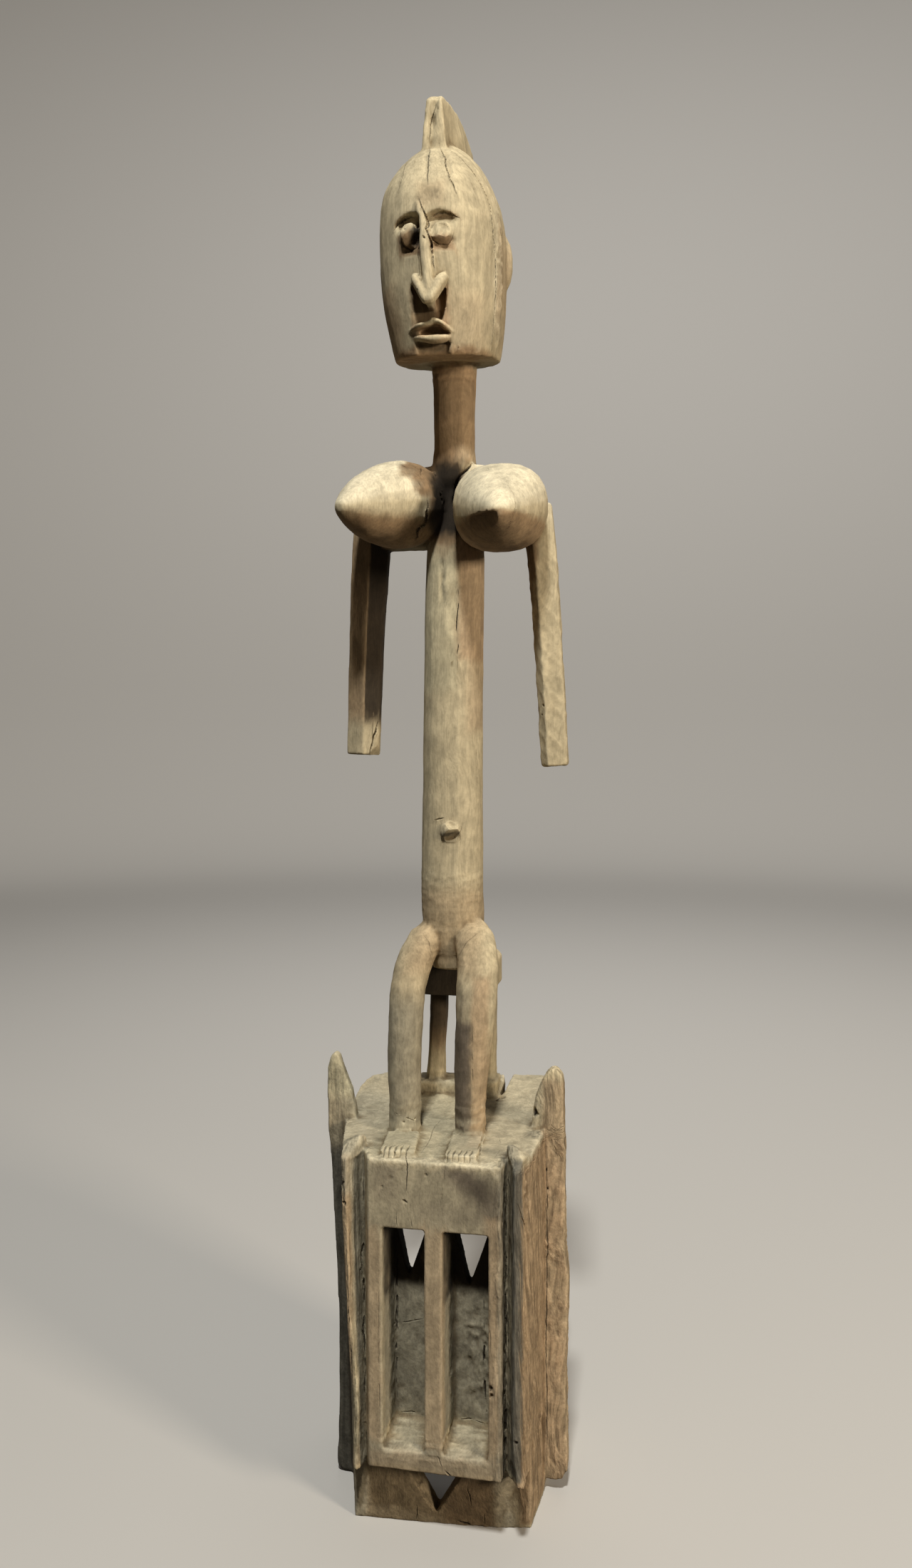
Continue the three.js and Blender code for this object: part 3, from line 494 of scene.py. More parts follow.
# Facets shaved flat: the two corners of where, a point of the plane and the way it looks
shaves = [
    ((-33, -95, 1226), (-10.5, -75.5, 1256), (-20.5, -80.6, 1240), (-0.25, -0.88, 0.42)),
    ((-33, -95, 1226), (-10.5, -75.5, 1256), (-20.5, -80.6, 1240), (0.2, -0.86, -0.48)),
    ((1.5, -95, 1226), (22, -75.5, 1256), (8, -80.6, 1236), (0.3, -0.88, 0.38)),
    ((1.5, -95, 1226), (22, -75.5, 1256), (8, -80.6, 1236), (-0.3, -0.88, 0.3)),
    ((1.5, -95, 1226), (22, -75.5, 1256), (8, -80.6, 1236), (0, -0.82, -0.57)),
    ((-8, -45, 664), (21, -20, 697), (6.4, -26.6, 683), (0.2, -0.62, 0.76)),
    ((-8, -45, 664), (21, -20, 697), (6.4, -26.6, 683), (-0.55, -0.8, 0.15)),
    ((-8, -45, 664), (21, -20, 697), (6.4, -26.6, 683), (0.25, -0.7, -0.65)),
    ((40, -125, 940), (69, -70, 977), (69, -117, 975), (-0.62, -0.66, -0.42)),
    ((-92, -30, 745), (-70, 20, 775), (-80, 5, 762), (0.8, -0.3, -0.5)),
]

# Places pushed bodily: middle, radius and shift
pushes = [((14, 20, 1365), 42, (4, 0, 0)), ((16, 60, 1350), 40, (3.5, 0, 0)), ((-8, -60, 1159), 9, (-3, 0, 0)),
          ((5, -73, 1163), 8, (-3.5, 0, 0))]

# Relief of one stretch of the carving: kind, corners, size of the marks along x, y and z, height in mm and where
# it counts how soft the stretch's edge is, how the waves lean back, whether the scoops run aslant, and how fuzzy
# the wood's own surface is there (1 where nothing is said)
relief = [
    ("waves", (85, -112, 8), (130, 60, 374), (7, 7, 90), 1.3, {"lean": 0.2}),
    ("waves", (-130, -30, 5), (-96, 20, 440), (7, 7, 80), 0.5, {}),
    ("waves", (84, -30, 374), (130, 30, 445), (6, 6, 70), 0.5, {}),
    ("waves", (66, -112, 60), (86, -80, 392), (4.5, 4.5, 22), 1.0, {}),
    ("waves", (-84, -112, 60), (-56, -80, 392), (4, 4, 30), 0.5, {}),
    ("lumps", (-46, -90, 108), (62, -62, 240), (8, 6, 9), 1.0, {}),
    ("lumps", (32, -90, 125), (64, -62, 225), (4, 4, 5), 1.9, {"soft": 8}),
    ("lumps", (-46, -112, 84), (62, -70, 110), (16, 4, 3.5), 1.1, {}),
    ("scoops", (-104, -108, 370), (104, 130, 412), (24, 18, 12), 1.3, {"fuzz": 0.35}),
    ("lumps", (-104, -108, 370), (104, 130, 412), (7, 5, 5), 0.35, {"fuzz": 0.35}),
    ("lumps", (-62, -114, 366), (72, -98, 384), (4, 4, 6), 0.9, {}),
    ("lumps", (-56, 60, 374), (44, 70, 404), (5, 4, 16), 1.2, {}),
    ("scoops", (78, -30, 735), (130, 60, 950), (9, 9, 11), 1.0, {"aslant": True, "fuzz": 0.15}),
    ("scoops", (-30, -40, 545), (45, 10, 640), (16, 16, 5), 0.6, {"fuzz": 0.15}),
    ("scoops", (-60, -90, 400), (60, 20, 590), (12, 12, 16), 0.6, {"fuzz": 0.25}),
    ("lumps", (53, -60, 1140), (64, -8, 1300), (3, 3, 4), 0.8, {"fuzz": 0.5}),
    ("lumps", (-52, -70, 1124), (52, 10, 1141), (12, 5, 4), 1.1, {"fuzz": 0.3}),
    ("lumps", (-90, -100, 0), (90, -60, 72), (9, 9, 7), 0.7, {}),
]


def shapeByHand(obj):
    points = readPoints(obj.data)
    for middle, radius, shift in pushes:
        away = np.linalg.norm(points - middle, axis=1)
        points += np.exp(-(away / radius * 1.6) ** 2)[:, None] * shift
    for low, high, spot, looks in shaves:
        inside = np.flatnonzero(inBox(points, low, high))
        looks = np.array(looks) / np.linalg.norm(looks)
        beyond = np.maximum((points[inside] - spot) @ looks, 0)
        beyond *= ease(high[1] - points[inside, 1], 0, 1.5)
        points[inside] -= beyond[:, None] * looks
    lift = np.zeros(len(points))
    for wide, deep, facing, *path in valleys:
        line = wander(path, facing, 7, 0.5)
        close = np.flatnonzero(inBox(points, line.min(0) - 12, line.max(0) + 12))
        away, share = acrossPath(points[close], line, np.array(facing, float), 14)
        rough = 1 + 0.6 * lumps(points[close], (4, 4, 7), 71)
        faded = np.minimum(1, 6 * np.minimum(share, 1 - share) + 0.3)
        lift[close] -= deep * np.exp(-(away / wide) ** 2) * rough * faded
    writePoints(obj.data, points + readNormals(obj.data) * lift[:, None])


def toolMarks(obj):
    points = readPoints(obj.data)
    figure = ease(points[:, 2], 384, 396)
    face = within(points, (-52, -100, 1130), (48, -40, 1285), 3)
    adze = carvingSet["adze"]
    adze = adze["box"] + (adze["figure"] - adze["box"]) * figure + (adze["face"] - adze["figure"]) * face
    lift = lumps(points, (26, 26, 60), 11, 2) * carvingSet["swell"]
    lift += (scoops(points, (13, 13, 30), 21) - 0.4) * adze
    lift += lumps(points, (5, 5, 9), 31, 2) * carvingSet["fineMarks"]
    for number, (kind, low, high, size, much, more) in enumerate(relief):
        mask = within(points, low, high, more.get("soft", 3))
        near = np.flatnonzero(mask > 0.01)
        spots = points[near]
        if kind == "waves":
            spots += lumps(spots, (30, 30, 55), 610 + number, 2)[:, None] * (9, 9, 0)
            spots[:, 1] += more.get("lean", 0) * spots[:, 2]
            height = 1 - 2 * np.abs(lumps(spots, size, 620 + number, 2)) ** 0.7
        elif kind == "scoops":
            if "aslant" in more:
                spots[:, 2] += spots[:, 0]
            height = scoops(spots, size, 620 + number) - 0.4
        else:
            height = lumps(spots, size, 620 + number, 2)
        lift[near] += mask[near] * height * much
    writePoints(obj.data, points + readNormals(obj.data) * lift[:, None])


def keepInBox(obj):
    inset = 0.01
    low, high = np.array(cadLow) / mm + inset, np.array(cadHigh) / mm - inset
    writePoints(obj.data, np.clip(readPoints(obj.data), low, high))


# First the plainer sides that face the back or the hollow, then all of it
def thinOut(obj):
    facesBack = readNormals(obj.data)[:, 1] > 0.3
    hidden = facesBack | inBox(readPoints(obj.data), *carvingSet["hollowBox"])
    addGroup(obj, "hidden", hidden)
    kept = 1 - hidden.mean() * (1 - carvingSet["hiddenShare"])
    useModifier(obj, "DECIMATE", ratio=kept, vertex_group="hidden", vertex_group_factor=10)
    obj.vertex_groups.clear()
    obj.data.calc_loop_triangles()
    count = len(obj.data.loop_triangles)
    print("hidden share", round(float(hidden.mean()), 2), "triangles left:", count)
    if count > carvingSet["triangles"]:
        useModifier(obj, "DECIMATE", ratio=carvingSet["triangles"] / count)
    pickUp(obj)
    bpy.ops.object.mode_set(mode="EDIT")
    bpy.ops.mesh.select_all(action="SELECT")
    bpy.ops.mesh.quads_convert_to_tris()
    bpy.ops.object.mode_set(mode="OBJECT")
    bpy.ops.object.shade_smooth()
    print("triangles kept:", len(obj.data.polygons))


# How hollow the surface is at each point, in about the given number of steps along the mesh
def hollowness(points, normals, edges, spread):
    count = len(points)
    first, second = edges.T
    ends = np.concatenate([first, second])
    others = np.concatenate([second, first])
    many = np.maximum(np.bincount(ends, minlength=count), 1)

    def blur(values):
        return np.bincount(ends, weights=values[others], minlength=count) / many

    soft = points
    for _ in range(spread):
        soft = np.column_stack([blur(soft[:, axis]) for axis in range(3)])
    return ((soft - points) * normals).sum(1)


# Dry wood, as colours in linear light
palette = {
    "tan": (0.49, 0.418, 0.275),
    "pale": (0.64, 0.58, 0.43),
    "olive": (0.49, 0.45, 0.305),
    "ash": (0.44, 0.40, 0.295),
    "dust": (0.27, 0.25, 0.19),
    "brown": (0.33, 0.22, 0.125),
    "warm": (0.40, 0.285, 0.175),
    # earth is the wood's dark brown, and mostly stands for painted shade in creases, undersides and cast shadows
    "earthAndShade": (0.20, 0.135, 0.075),
    "slate": (0.125, 0.12, 0.10),
    "smoke": (0.13, 0.105, 0.08),
    # soot stands for painted shade where shadow is deepest, and for real soot stains on the frame and left flange
    "sootAndShade": (0.018, 0.014, 0.010),
}

# Colour regions, painted over one another in this order: tone, strength, corners, softness and, where it counts,
# the way the surface looks (axis and sign)
# Many rows below are painted shade or painted light rather than the wood's own colour; each such row is marked
woodTones = [
    # neck
    ("brown", 0.85, (-34, -60, 1046), (34, 60, 1140), 5),
    # painted shade: the left side of the neck, in the head's shadow
    ("earthAndShade", 0.75, (-34, -60, 1046), (-2, 20, 1140), 2),
    # breasts, and the cleft between them
    ("pale", 0.75, (-130, -125, 985), (-12, 60, 1060), 6, (2, 1)),
    ("pale", 0.75, (14, -125, 980), (130, 60, 1060), 6, (2, 1)),
    # painted shade mixed with the wood's own browner tone: the undersides of the breasts, darkest at the lower left
    ("brown", 0.9, (-130, -125, 940), (-12, -5, 984), 6, (2, -1)),
    ("earthAndShade", 0.7, (-130, -125, 940), (-62, 10, 984), 5, (2, -1)),
    ("brown", 0.85, (12, -130, 940), (120, -12, 979), 2),
    ("earthAndShade", 0.7, (8, -130, 940), (69, -12, 977), 2.5),
    # painted shade with some dirt: the cleft between the breasts and the root of the left breast, shaded by breasts
    # and head
    ("brown", 0.95, (-35, -80, 1034), (8, 60, 1060), 3),
    ("brown", 0.95, (-25, -80, 1021), (8, 60, 1040), 3),
    ("brown", 0.95, (-16, -80, 1008), (8, 60, 1026), 3),
    ("brown", 0.9, (-10.5, -80, 950), (6, 60, 1012), 3),
    ("earthAndShade", 0.85, (-36, -80, 1025), (4, 60, 1060), 4),
    ("earthAndShade", 0.8, (-22, -80, 1008), (4, 60, 1030), 4),
    ("earthAndShade", 0.97, (-14, -34, 962), (17, 18, 1048), 4),
    ("sootAndShade", 0.97, (-13, -36, 972), (17, 10, 1046), 5),
    # front of the torso, and under the navel
    ("olive", 0.45, (-34, -60, 820), (12, 90, 962), 4),
    # painted shade on the lower half of the navel peg
    ("sootAndShade", 0.8, (-11, -45, 666), (18, -20, 680), 1.2),
    # head
    # painted shade on the downward facets of both eyes
    ("earthAndShade", 0.75, (-34, -95, 1222), (-9, -74, 1239), 1.2, (2, -1)),
    ("brown", 0.85, (-4, -95, 1222), (22, -74, 1235), 1.2, (2, -1)),
    # painted shade on the left of the recess under the nose and on the chin under the mouth, painted warm light on
    # the recess's right
    ("earthAndShade", 0.75, (-22, -73, 1150), (2, -58, 1194), 2),
    ("warm", 0.95, (2, -73, 1150), (15, -58, 1194), 2),
    ("earthAndShade", 0.6, (-20, -73, 1120), (16, -58, 1146), 1.5),
    # painted shade on the left side of the jaw
    ("brown", 0.6, (-60, -60, 1130), (-30, 20, 1200), 8),
    # painted shade round the eyes: the socket between the left eye and the nose, under both eyes and under both brows
    ("sootAndShade", 0.8, (-15.5, -84, 1222), (-10.5, -66, 1254), 1.5),
    ("earthAndShade", 0.85, (-33, -92, 1222), (-11, -66, 1241.5), 1.2),
    ("sootAndShade", 0.75, (-19, -92, 1224), (-10, -66, 1246), 1.5),
    ("warm", 0.8, (0, -92, 1224), (22, -71, 1235.5), 1.2),
    ("earthAndShade", 0.55, (0, -95, 1220), (26, -72, 1238), 1.2, (2, -1)),
    ("earthAndShade", 0.8, (-31, -79, 1221), (-10, -66, 1230), 1.5),
    ("earthAndShade", 0.6, (-38, -80, 1247), (-12, -64, 1258), 1.5, (2, -1)),
    ("brown", 0.6, (0, -80, 1225), (22, -70, 1230), 1.5),
    ("brown", 0.6, (0, -80, 1248), (28, -64, 1259), 1.5, (2, -1)),
    ("brown", 0.28, (-13, -92, 1264), (12, -60, 1287), 4),
    ("warm", 0.3, (12, -80, 1140), (46, -20, 1190), 10),
    ("pale", 0.3, (52, -48, 1140), (60, -14, 1290), 2),
    ("warm", 0.5, (54, -26, 1140), (66, 20, 1270), 4),
    # painted shade on the underside of the jaw
    ("brown", 0.8, (-52, -70, 1120), (52, 40, 1142), 3, (2, -1)),
    ("warm", 0.8, (-14, -80, 1148), (12, -58, 1157), 1.5),
    # right side of the torso, and the arms
    # painted shade: the right breast's shadow on the right side of the torso
    ("warm", 0.85, (14, -60, 850), (40, 90, 975), 4),
    ("warm", 0.5, (22, -60, 780), (40, 90, 860), 7),
    ("brown", 0.45, (-34, -60, 540), (40, 90, 622), 12),
    ("brown", 0.75, (-120, -60, 790), (-58, 90, 980), 9),
    # painted shade: the left breast's shadow on the upper left arm, and the arm's shaded back facet
    ("earthAndShade", 0.6, (-120, -60, 905), (-58, 90, 985), 14),
    ("sootAndShade", 0.93, (-96, -60, 788), (-50, 90, 985), 8, (0, 1)),
    # painted shade between the right breast and the top of the right arm
    ("earthAndShade", 0.9, (60, -60, 930), (90, 90, 985), 3),
    ("earthAndShade", 0.8, (60, -60, 905), (86, 90, 935), 3),
    # legs and stool
    ("earthAndShade", 0.25, (-60, -80, 390), (-10, 30, 560), 14),
    ("dust", 0.7, (-60, -80, 380), (-10, 30, 515), 16),
    ("dust", 0.6, (-60, -80, 383), (-10, 30, 401), 2.5),
    ("smoke", 0.95, (4, -80, 382), (34, 30, 496), 3),
    ("smoke", 0.5, (4, -80, 480), (32, 30, 530), 10),
    ("warm", 0.75, (34, -80, 382), (50, 30, 540), 3),
    # painted shade on the stool and its crossbar behind the legs
    ("earthAndShade", 0.9, (-48, 34, 432), (26, 112, 545), 14),
    ("sootAndShade", 0.8, (-46, 34, 450), (26, 112, 545), 16),
    ("sootAndShade", 0.8, (-44, 4, 494), (27, 112, 541), 4),
    # roof, flanges and ears
    ("ash", 0.6, (-110, -112, 370), (106, 140, 412), 5, (2, 1)),
    ("olive", 0.35, (-60, -112, 372), (30, 70, 400), 14, (2, 1)),
    ("ash", 0.45, (-120, -60, 300), (-60, 60, 450), 12),
    ("slate", 0.92, (-135, -30, -5), (-84, 40, 350), 6),
    ("sootAndShade", 0.45, (-135, -30, -5), (-84, 40, 335), 8),
    ("smoke", 0.35, (-135, -30, 340), (-100, 40, 400), 10),
    ("olive", 0.6, (-135, -30, 402), (-90, 40, 450), 8),
    ("dust", 0.5, (84, -30, 378), (112, 40, 428), 6),
    # frame, grooves and eye holes
    ("dust", 0.5, (-68, -116, 78), (76, -98, 372), 4),
    ("warm", 0.5, (-62, -116, 100), (-43, -96, 312), 3),
    ("warm", 0.5, (-4, -116, 96), (19, -96, 314), 3),
    ("warm", 0.35, (60, -116, 100), (76, -96, 330), 3),
    ("smoke", 0.6, (16, -116, 362), (34, -98, 374), 5),
    ("smoke", 0.8, (28, -116, 352), (48, -98, 371), 6),
    ("smoke", 0.85, (42, -116, 341), (60, -98, 366), 7),
    ("smoke", 0.7, (54, -116, 328), (76, -98, 360), 8),
    ("sootAndShade", 0.3, (34, -116, 344), (72, -98, 368), 8),
    ("smoke", 0.4, (-50, -116, 338), (-26, -98, 372), 9),
    ("smoke", 0.3, (-10, -116, 318), (60, -98, 340), 9),
    ("dust", 0.85, (-46, -100, 108), (62, -60, 245), 4),
    ("ash", 0.6, (-46, -116, 84), (62, -68, 110), 3, (2, 1)),
    ("dust", 0.5, (-68, -116, 76), (76, -98, 98), 4),
    ("brown", 0.35, (-68, -116, 70), (76, -98, 92), 5),
    ("pale", 0.4, (-54, -112, 373), (66, -98, 384), 2, (2, 1)),
    # painted shade: the tops of both eye grooves, in the shadow of the bar above
    ("sootAndShade", 0.97, (-43, -104, 240), (-6, -40, 318), 5),
    ("sootAndShade", 0.97, (16, -104, 240), (60, -40, 318), 5),
    # strips beside the frame, and the right wall
    ("dust", 0.8, (-84, -104, 66), (-62, -74, 385), 3),
    ("warm", 0.7, (-90, -116, 66), (-72, -103, 378), 2),
    ("ash", 0.7, (-90, -116, 340), (-60, -74, 400), 5, (1, -1)),
    ("slate", 0.55, (70.5, -112, 74), (87, -70, 400), 1.5),
    ("warm", 0.4, (58, -116, 92), (70, -100, 330), 2),
    ("warm", 0.85, (86, -116, 4), (130, -3, 374), 2),
    ("slate", 0.9, (82, -116, 76), (93, -98, 398), 1.5, (1, -1)),
    ("warm", 0.6, (98, -20, 4), (130, 30, 430), 4),
    # panel under the frame
    # painted shadow of the frame on the panel below it
    ("earthAndShade", 0.6, (-90, -100, -5), (90, -50, 62), 6),
    ("earthAndShade", 0.7, (10, -100, -5), (64, -50, 60), 10),
    # painted light: the patches lit through the gaps between the frame and the fins
    ("ash", 0.75, (-88, -100, -5), (-66, -50, 58), 4),
    ("ash", 0.6, (63, -100, -5), (84, -50, 70), 4),
]


def paintTones(obj):
    mesh = obj.data
    points = readPoints(mesh)
    normals = readNormals(mesh)
    edges = readEdges(mesh)
    *_, ink = crackField(points)
    inner, hole, _ = pitField(points)
    fine = hollowness(points, normals, edges, 2)
    wide = hollowness(points, normals, edges, 10)
    keepValue(mesh, "crack", np.maximum(ink, ease(inner, 0.1, 0.5) * ease(hole, 0.6, 2)))
    keepValue(mesh, "hollow", ease(wide, 0.05, 1.6))
    keepValue(mesh, "worn", ease(-fine, 0.02, 0.35))
    shake = 3.5 * np.column_stack([lumps(points, (9, 9, 18), 400 + axis, 3) for axis in range(3)])
    colour = np.tile(palette["tan"], (len(points), 1))
    for tone, much, low, high, soft, *looks in woodTones:
        mask = within(points + shake * min(1, soft / 4), low, high, soft) * much
        for axis, sign in looks:
            mask = mask * ease(normals[:, axis] * sign, -0.1, 0.35)
        colour += (np.array(palette[tone]) - colour) * mask[:, None]
    layer = mesh.attributes.new("tone", "FLOAT_COLOR", "POINT")
    layer.data.foreach_set("color", np.column_stack([colour, np.ones(len(points))]).astype(np.float32).ravel())
    rough = 0.45 * (1 - ease(points[:, 2], 376, 392))
    wave = np.zeros(len(points))
    for kind, low, high, _, _, more in relief:
        mask = within(points, low, high, more.get("soft", 6))
        rough = np.maximum(rough, mask * more.get("fuzz", 1))
        if kind == "waves":
            wave = np.maximum(wave, mask)
    keepValue(mesh, "rough", rough)
    keepValue(mesh, "wave", wave)
    _, low, high, _, _, more = relief[0]
    flow = points + lumps(points, (30, 30, 55), 610, 2)[:, None] * (9, 9, 0)
    flow[:, 1] += more["lean"] * points[:, 2] * within(points, low, high, 6)
    layer = mesh.attributes.new("flow", "FLOAT_VECTOR", "POINT")
    layer.data.foreach_set("vector", (flow * mm).astype(np.float32).ravel())


def addNode(tree, kind, inputs=None, **settings):
    node = tree.nodes.new(kind)
    for name, value in settings.items():
        setattr(node, name, value)
    for name, value in (inputs or {}).items():
        if isinstance(value, bpy.types.NodeSocket):
            tree.links.new(value, node.inputs[name])
        else:
            node.inputs[name].default_value = value
    return node


def readAttribute(tree, name, output="Fac"):
    return addNode(tree, "ShaderNodeAttribute", attribute_name=name).outputs[output]


def multiply(tree, first, second):
    return addNode(tree, "ShaderNodeMath", {0: first, 1: second}, operation="MULTIPLY").outputs[0]


def mixColour(tree, factor, first, second, blend="MIX"):
    node = addNode(tree, "ShaderNodeMix", {0: factor}, data_type="RGBA", blend_type=blend)
    for index, value in ((6, first), (7, second)):
        if isinstance(value, bpy.types.NodeSocket):
            tree.links.new(value, node.inputs[index])
        else:
            node.inputs[index].default_value = (*value, 1)
    return node.outputs[2]


# Grain that runs up the log: fine streaks, mottling a few millimetres wide, clouds, coarse relief and ridges, each
# with its marks per metre and its detail. The bands say how each grain, from one value to another, darkens or
# brightens the wood, on even and on rough stretches and in the furrows. The bumps' heights are in metres.
woodSet = {
    "roughness": 0.88,
    "specular": 0.22,
    "crack": (0.016, 0.011, 0.007),
    "dirt": (0.34, 0.27, 0.19),
    "dirtShare": 0.75,
    "wornBrighter": 1.22,
    "grains": (("Streak", (620, 620, 40), 3), ("Mottle", (220, 220, 120), 4), ("Cloud", (60, 60, 40), 4),
               ("Coarse", (430, 430, 270), 5), ("Ridges", (200, 200, 11), 3)),
    "evenBands": (("Cloud", 0.3, 0.7, 0.88, 1.1), ("Mottle", 0.4, 0.6, 0.94, 1.05),
                  ("Streak", 0.38, 0.52, 0.89, 1.03), ("Coarse", 0.42, 0.54, 0.94, 1.02)),
    "roughBands": (("Cloud", 0.32, 0.68, 0.82, 1.14), ("Coarse", 0.38, 0.54, 0.86, 1.03),
                   ("Mottle", 0.38, 0.62, 0.9, 1.09)),
    "furrowBand": ("Ridges", 0.36, 0.56, 0.7, 1.08),
    "coarseBump": 0.0011,
    "coarseStrength": (0.12, 0.55),
    "ridgeBump": 0.0022,
    "streakBump": 0.0006,
    "streakStrength": 0.25,
}


def woodGrain():
    group = bpy.data.node_groups.new("woodGrain", "ShaderNodeTree")
    face = group.interface
    face.new_socket("Vector", in_out="INPUT", socket_type="NodeSocketVector")
    for name, scale, detail in woodSet["grains"]:
        face.new_socket(name, in_out="OUTPUT", socket_type="NodeSocketFloat")
    enter = group.nodes.new("NodeGroupInput").outputs["Vector"]
    leave = group.nodes.new("NodeGroupOutput")
    for name, scale, detail in woodSet["grains"]:
        stretch = addNode(group, "ShaderNodeMapping", {"Vector": enter, "Scale": scale})
        noise = addNode(group, "ShaderNodeTexNoise", {"Vector": stretch.outputs[0], "Scale": 1, "Detail": detail})
        group.links.new(noise.outputs["Fac"], leave.inputs[name])
    return group


def weatheredWood():
    material = bpy.data.materials.new("weatheredWood")
    material.use_nodes = True
    tree = material.node_tree
    tree.nodes.clear()
    shader = addNode(tree, "ShaderNodeBsdfPrincipled", {"Roughness": woodSet["roughness"]})
    shader.inputs["Specular IOR Level"].default_value = woodSet["specular"]
    grain = addNode(tree, "ShaderNodeGroup", node_tree=woodGrain())
    tree.links.new(readAttribute(tree, "flow", "Vector"), grain.inputs["Vector"])
    rough = readAttribute(tree, "rough")
    wave = readAttribute(tree, "wave")

    def band(name, low, high, darkest, brightest):
        return addNode(tree, "ShaderNodeMapRange", {
            "Value": grain.outputs[name], "From Min": low, "From Max": high, "To Min": darkest,
            "To Max": brightest}, interpolation_type="SMOOTHSTEP").outputs["Result"]

    def bandsTogether(bands):
        shade = band(*bands[0])
        for row in bands[1:]:
            shade = multiply(tree, shade, band(*row))
        return shade

    even = bandsTogether(woodSet["evenBands"])
    uneven = bandsTogether(woodSet["roughBands"])
    shade = addNode(tree, "ShaderNodeMix", {0: rough, 2: even, 3: uneven}).outputs[0]
    furrow = addNode(tree, "ShaderNodeMix", {0: wave, 2: 1, 3: band(*woodSet["furrowBand"])}).outputs[0]
    shade = multiply(tree, shade, furrow)
    worn = addNode(tree, "ShaderNodeMapRange", {
        "Value": readAttribute(tree, "worn"), "To Min": 1, "To Max": woodSet["wornBrighter"]}).outputs["Result"]
    shade = multiply(tree, shade, worn)
    tone = readAttribute(tree, "tone", "Color")
    colour = addNode(tree, "ShaderNodeVectorMath", {0: tone, "Scale": shade}, operation="SCALE").outputs[0]
    dirty = multiply(tree, readAttribute(tree, "hollow"), woodSet["dirtShare"])
    colour = mixColour(tree, dirty, colour, woodSet["dirt"], "MULTIPLY")
    colour = mixColour(tree, readAttribute(tree, "crack"), colour, woodSet["crack"])
    tree.links.new(colour, shader.inputs["Base Color"])
    weakest, strongest = woodSet["coarseStrength"]
    strength = addNode(tree, "ShaderNodeMapRange", {
        "Value": rough, "To Min": weakest, "To Max": strongest}).outputs["Result"]
    coarse = addNode(tree, "ShaderNodeBump", {
        "Strength": strength, "Distance": woodSet["coarseBump"], "Height": grain.outputs["Coarse"]})
    ridged = addNode(tree, "ShaderNodeBump", {
        "Strength": wave, "Distance": woodSet["ridgeBump"], "Height": grain.outputs["Ridges"],
        "Normal": coarse.outputs[0]})
    streaked = addNode(tree, "ShaderNodeBump", {
        "Strength": woodSet["streakStrength"], "Distance": woodSet["streakBump"],
        "Height": grain.outputs["Streak"], "Normal": ridged.outputs[0]})
    tree.links.new(streaked.outputs[0], shader.inputs["Normal"])
    output = addNode(tree, "ShaderNodeOutputMaterial")
    tree.links.new(shader.outputs[0], output.inputs["Surface"])
    return material


# Plain pale studio in metres: a round floor that curves up all round in steps of rise and growth, a key light above
# the front, a warm fill from the right and a light on the wall behind
studioSet = {
    "floorRadius": 4.2,
    "floorRim": 0.9,
    "coveSteps": ((0.08, 1.07), (0.2, 1.055), (0.34, 1.035), (0.5, 1.02), (3.5, 1.0)),
    "floorColour": (0.60, 0.59, 0.57),
    "worldColour": (1.0, 0.83, 0.64),
    "worldStrength": 0.05,
}

lights = [
    {"name": "keyLight", "from": (0.25, -2.0, 4.0), "to": (0, 0, 0.75), "size": 0.3, "power": 130,
     "colour": (1.0, 0.98, 0.92)},
    {"name": "fillLight", "from": (2.9, -1.7, 1.5), "to": (0, 0, 0.7), "size": 0.6, "power": 70,
     "colour": (1.0, 0.86, 0.68)},
    {"name": "wallLight", "from": (0, 1.6, 3.4), "to": (0, 4.6, 1.2), "size": 2.0, "power": 60,
     "colour": (1.0, 0.98, 0.95)},
]


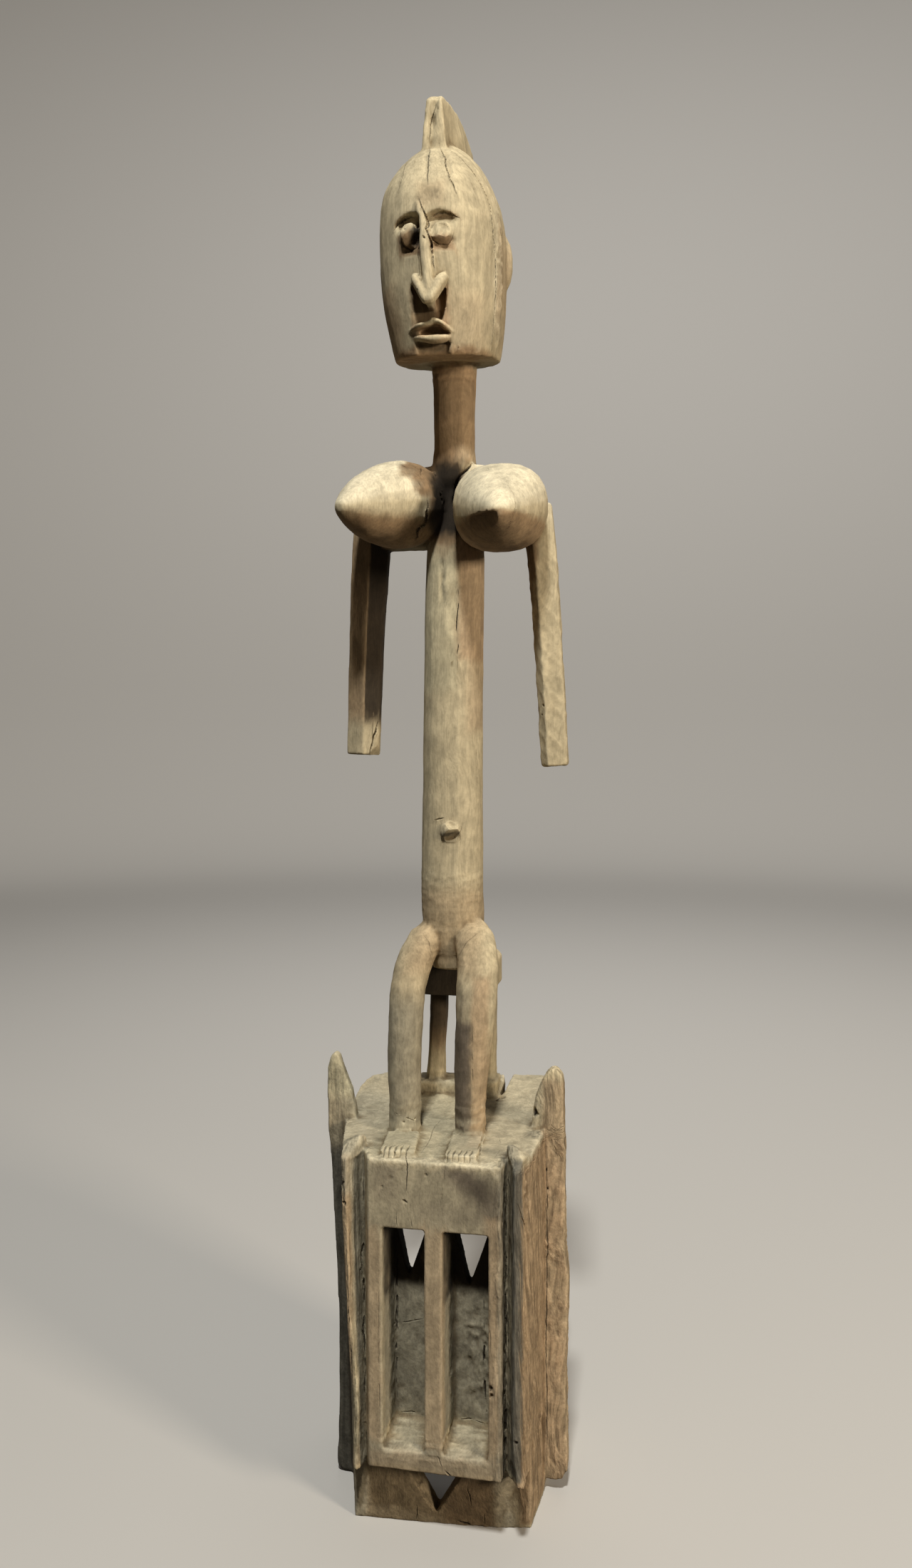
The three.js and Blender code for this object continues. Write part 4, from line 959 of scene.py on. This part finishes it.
def makeStudio():
    radius = studioSet["floorRadius"]
    deselectAll()
    bpy.ops.mesh.primitive_circle_add(vertices=96, radius=radius, fill_type="NGON")
    floor = bpy.context.object
    floor.name = "studioFloor"
    bpy.ops.object.mode_set(mode="EDIT")
    bpy.ops.mesh.select_mode(type="FACE")
    bpy.ops.mesh.select_all(action="SELECT")
    bpy.ops.mesh.inset(thickness=studioSet["floorRim"])
    bpy.ops.mesh.select_mode(type="EDGE")
    bpy.ops.object.mode_set(mode="OBJECT")
    mesh = floor.data
    rim = [math.hypot(*vertex.co.xy) > radius - 0.01 for vertex in mesh.vertices]
    for polygon in mesh.polygons:
        polygon.select = False
    for edge in mesh.edges:
        edge.select = all(rim[index] for index in edge.vertices)
    for vertex in mesh.vertices:
        vertex.select = rim[vertex.index]
    bpy.ops.object.mode_set(mode="EDIT")
    for rise, grow in studioSet["coveSteps"]:
        bpy.ops.mesh.extrude_region_move(TRANSFORM_OT_translate={"value": (0, 0, rise)})
        bpy.ops.transform.resize(value=(grow, grow, 1))
    bpy.ops.object.mode_set(mode="OBJECT")
    useModifier(floor, "SUBSURF", levels=2, render_levels=2)
    bpy.ops.object.shade_smooth()
    plain = bpy.data.materials.new("studioPaper")
    plain.use_nodes = True
    paper = plain.node_tree.nodes["Principled BSDF"]
    paper.inputs["Base Color"].default_value = (*studioSet["floorColour"], 1)
    paper.inputs["Roughness"].default_value = 0.95
    mesh.materials.append(plain)
    floor.visible_diffuse = False  # the dark cloth in the photo lights nothing from below

    world = bpy.data.worlds.new("studioAir")
    world.use_nodes = True
    sky = world.node_tree.nodes["Background"]
    sky.inputs["Color"].default_value = (*studioSet["worldColour"], 1)
    sky.inputs["Strength"].default_value = studioSet["worldStrength"]
    bpy.context.scene.world = world
    for light in lights:
        start = Vector(light["from"])
        bpy.ops.object.light_add(type="AREA", location=start)
        lamp = bpy.context.object
        lamp.name = light["name"]
        lamp.rotation_euler = (Vector(light["to"]) - start).to_track_quat("-Z", "Y").to_euler()
        lamp.data.size = light["size"]
        lamp.data.energy = light["power"]
        lamp.data.color = light["colour"]
        lamp.visible_camera = False
    bpy.context.scene.view_settings.view_transform = "Standard"


makeCamera()
makeStudio()
print("studio and camera set")

mask = makeBlank()
print("blank cut:", len(mask.data.vertices), "points")
shapeByHand(mask)
toolMarks(mask)
print("tool marks carved")
openCracks(mask)
print("cracks opened:", len(mask.data.vertices), "points")
keepInBox(mask)
thinOut(mask)
keepInBox(mask)
paintTones(mask)
mask.data.materials.clear()
mask.data.materials.append(weatheredWood())
print("wood finished")

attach(mask, "root")
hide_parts("satimbe_mask")
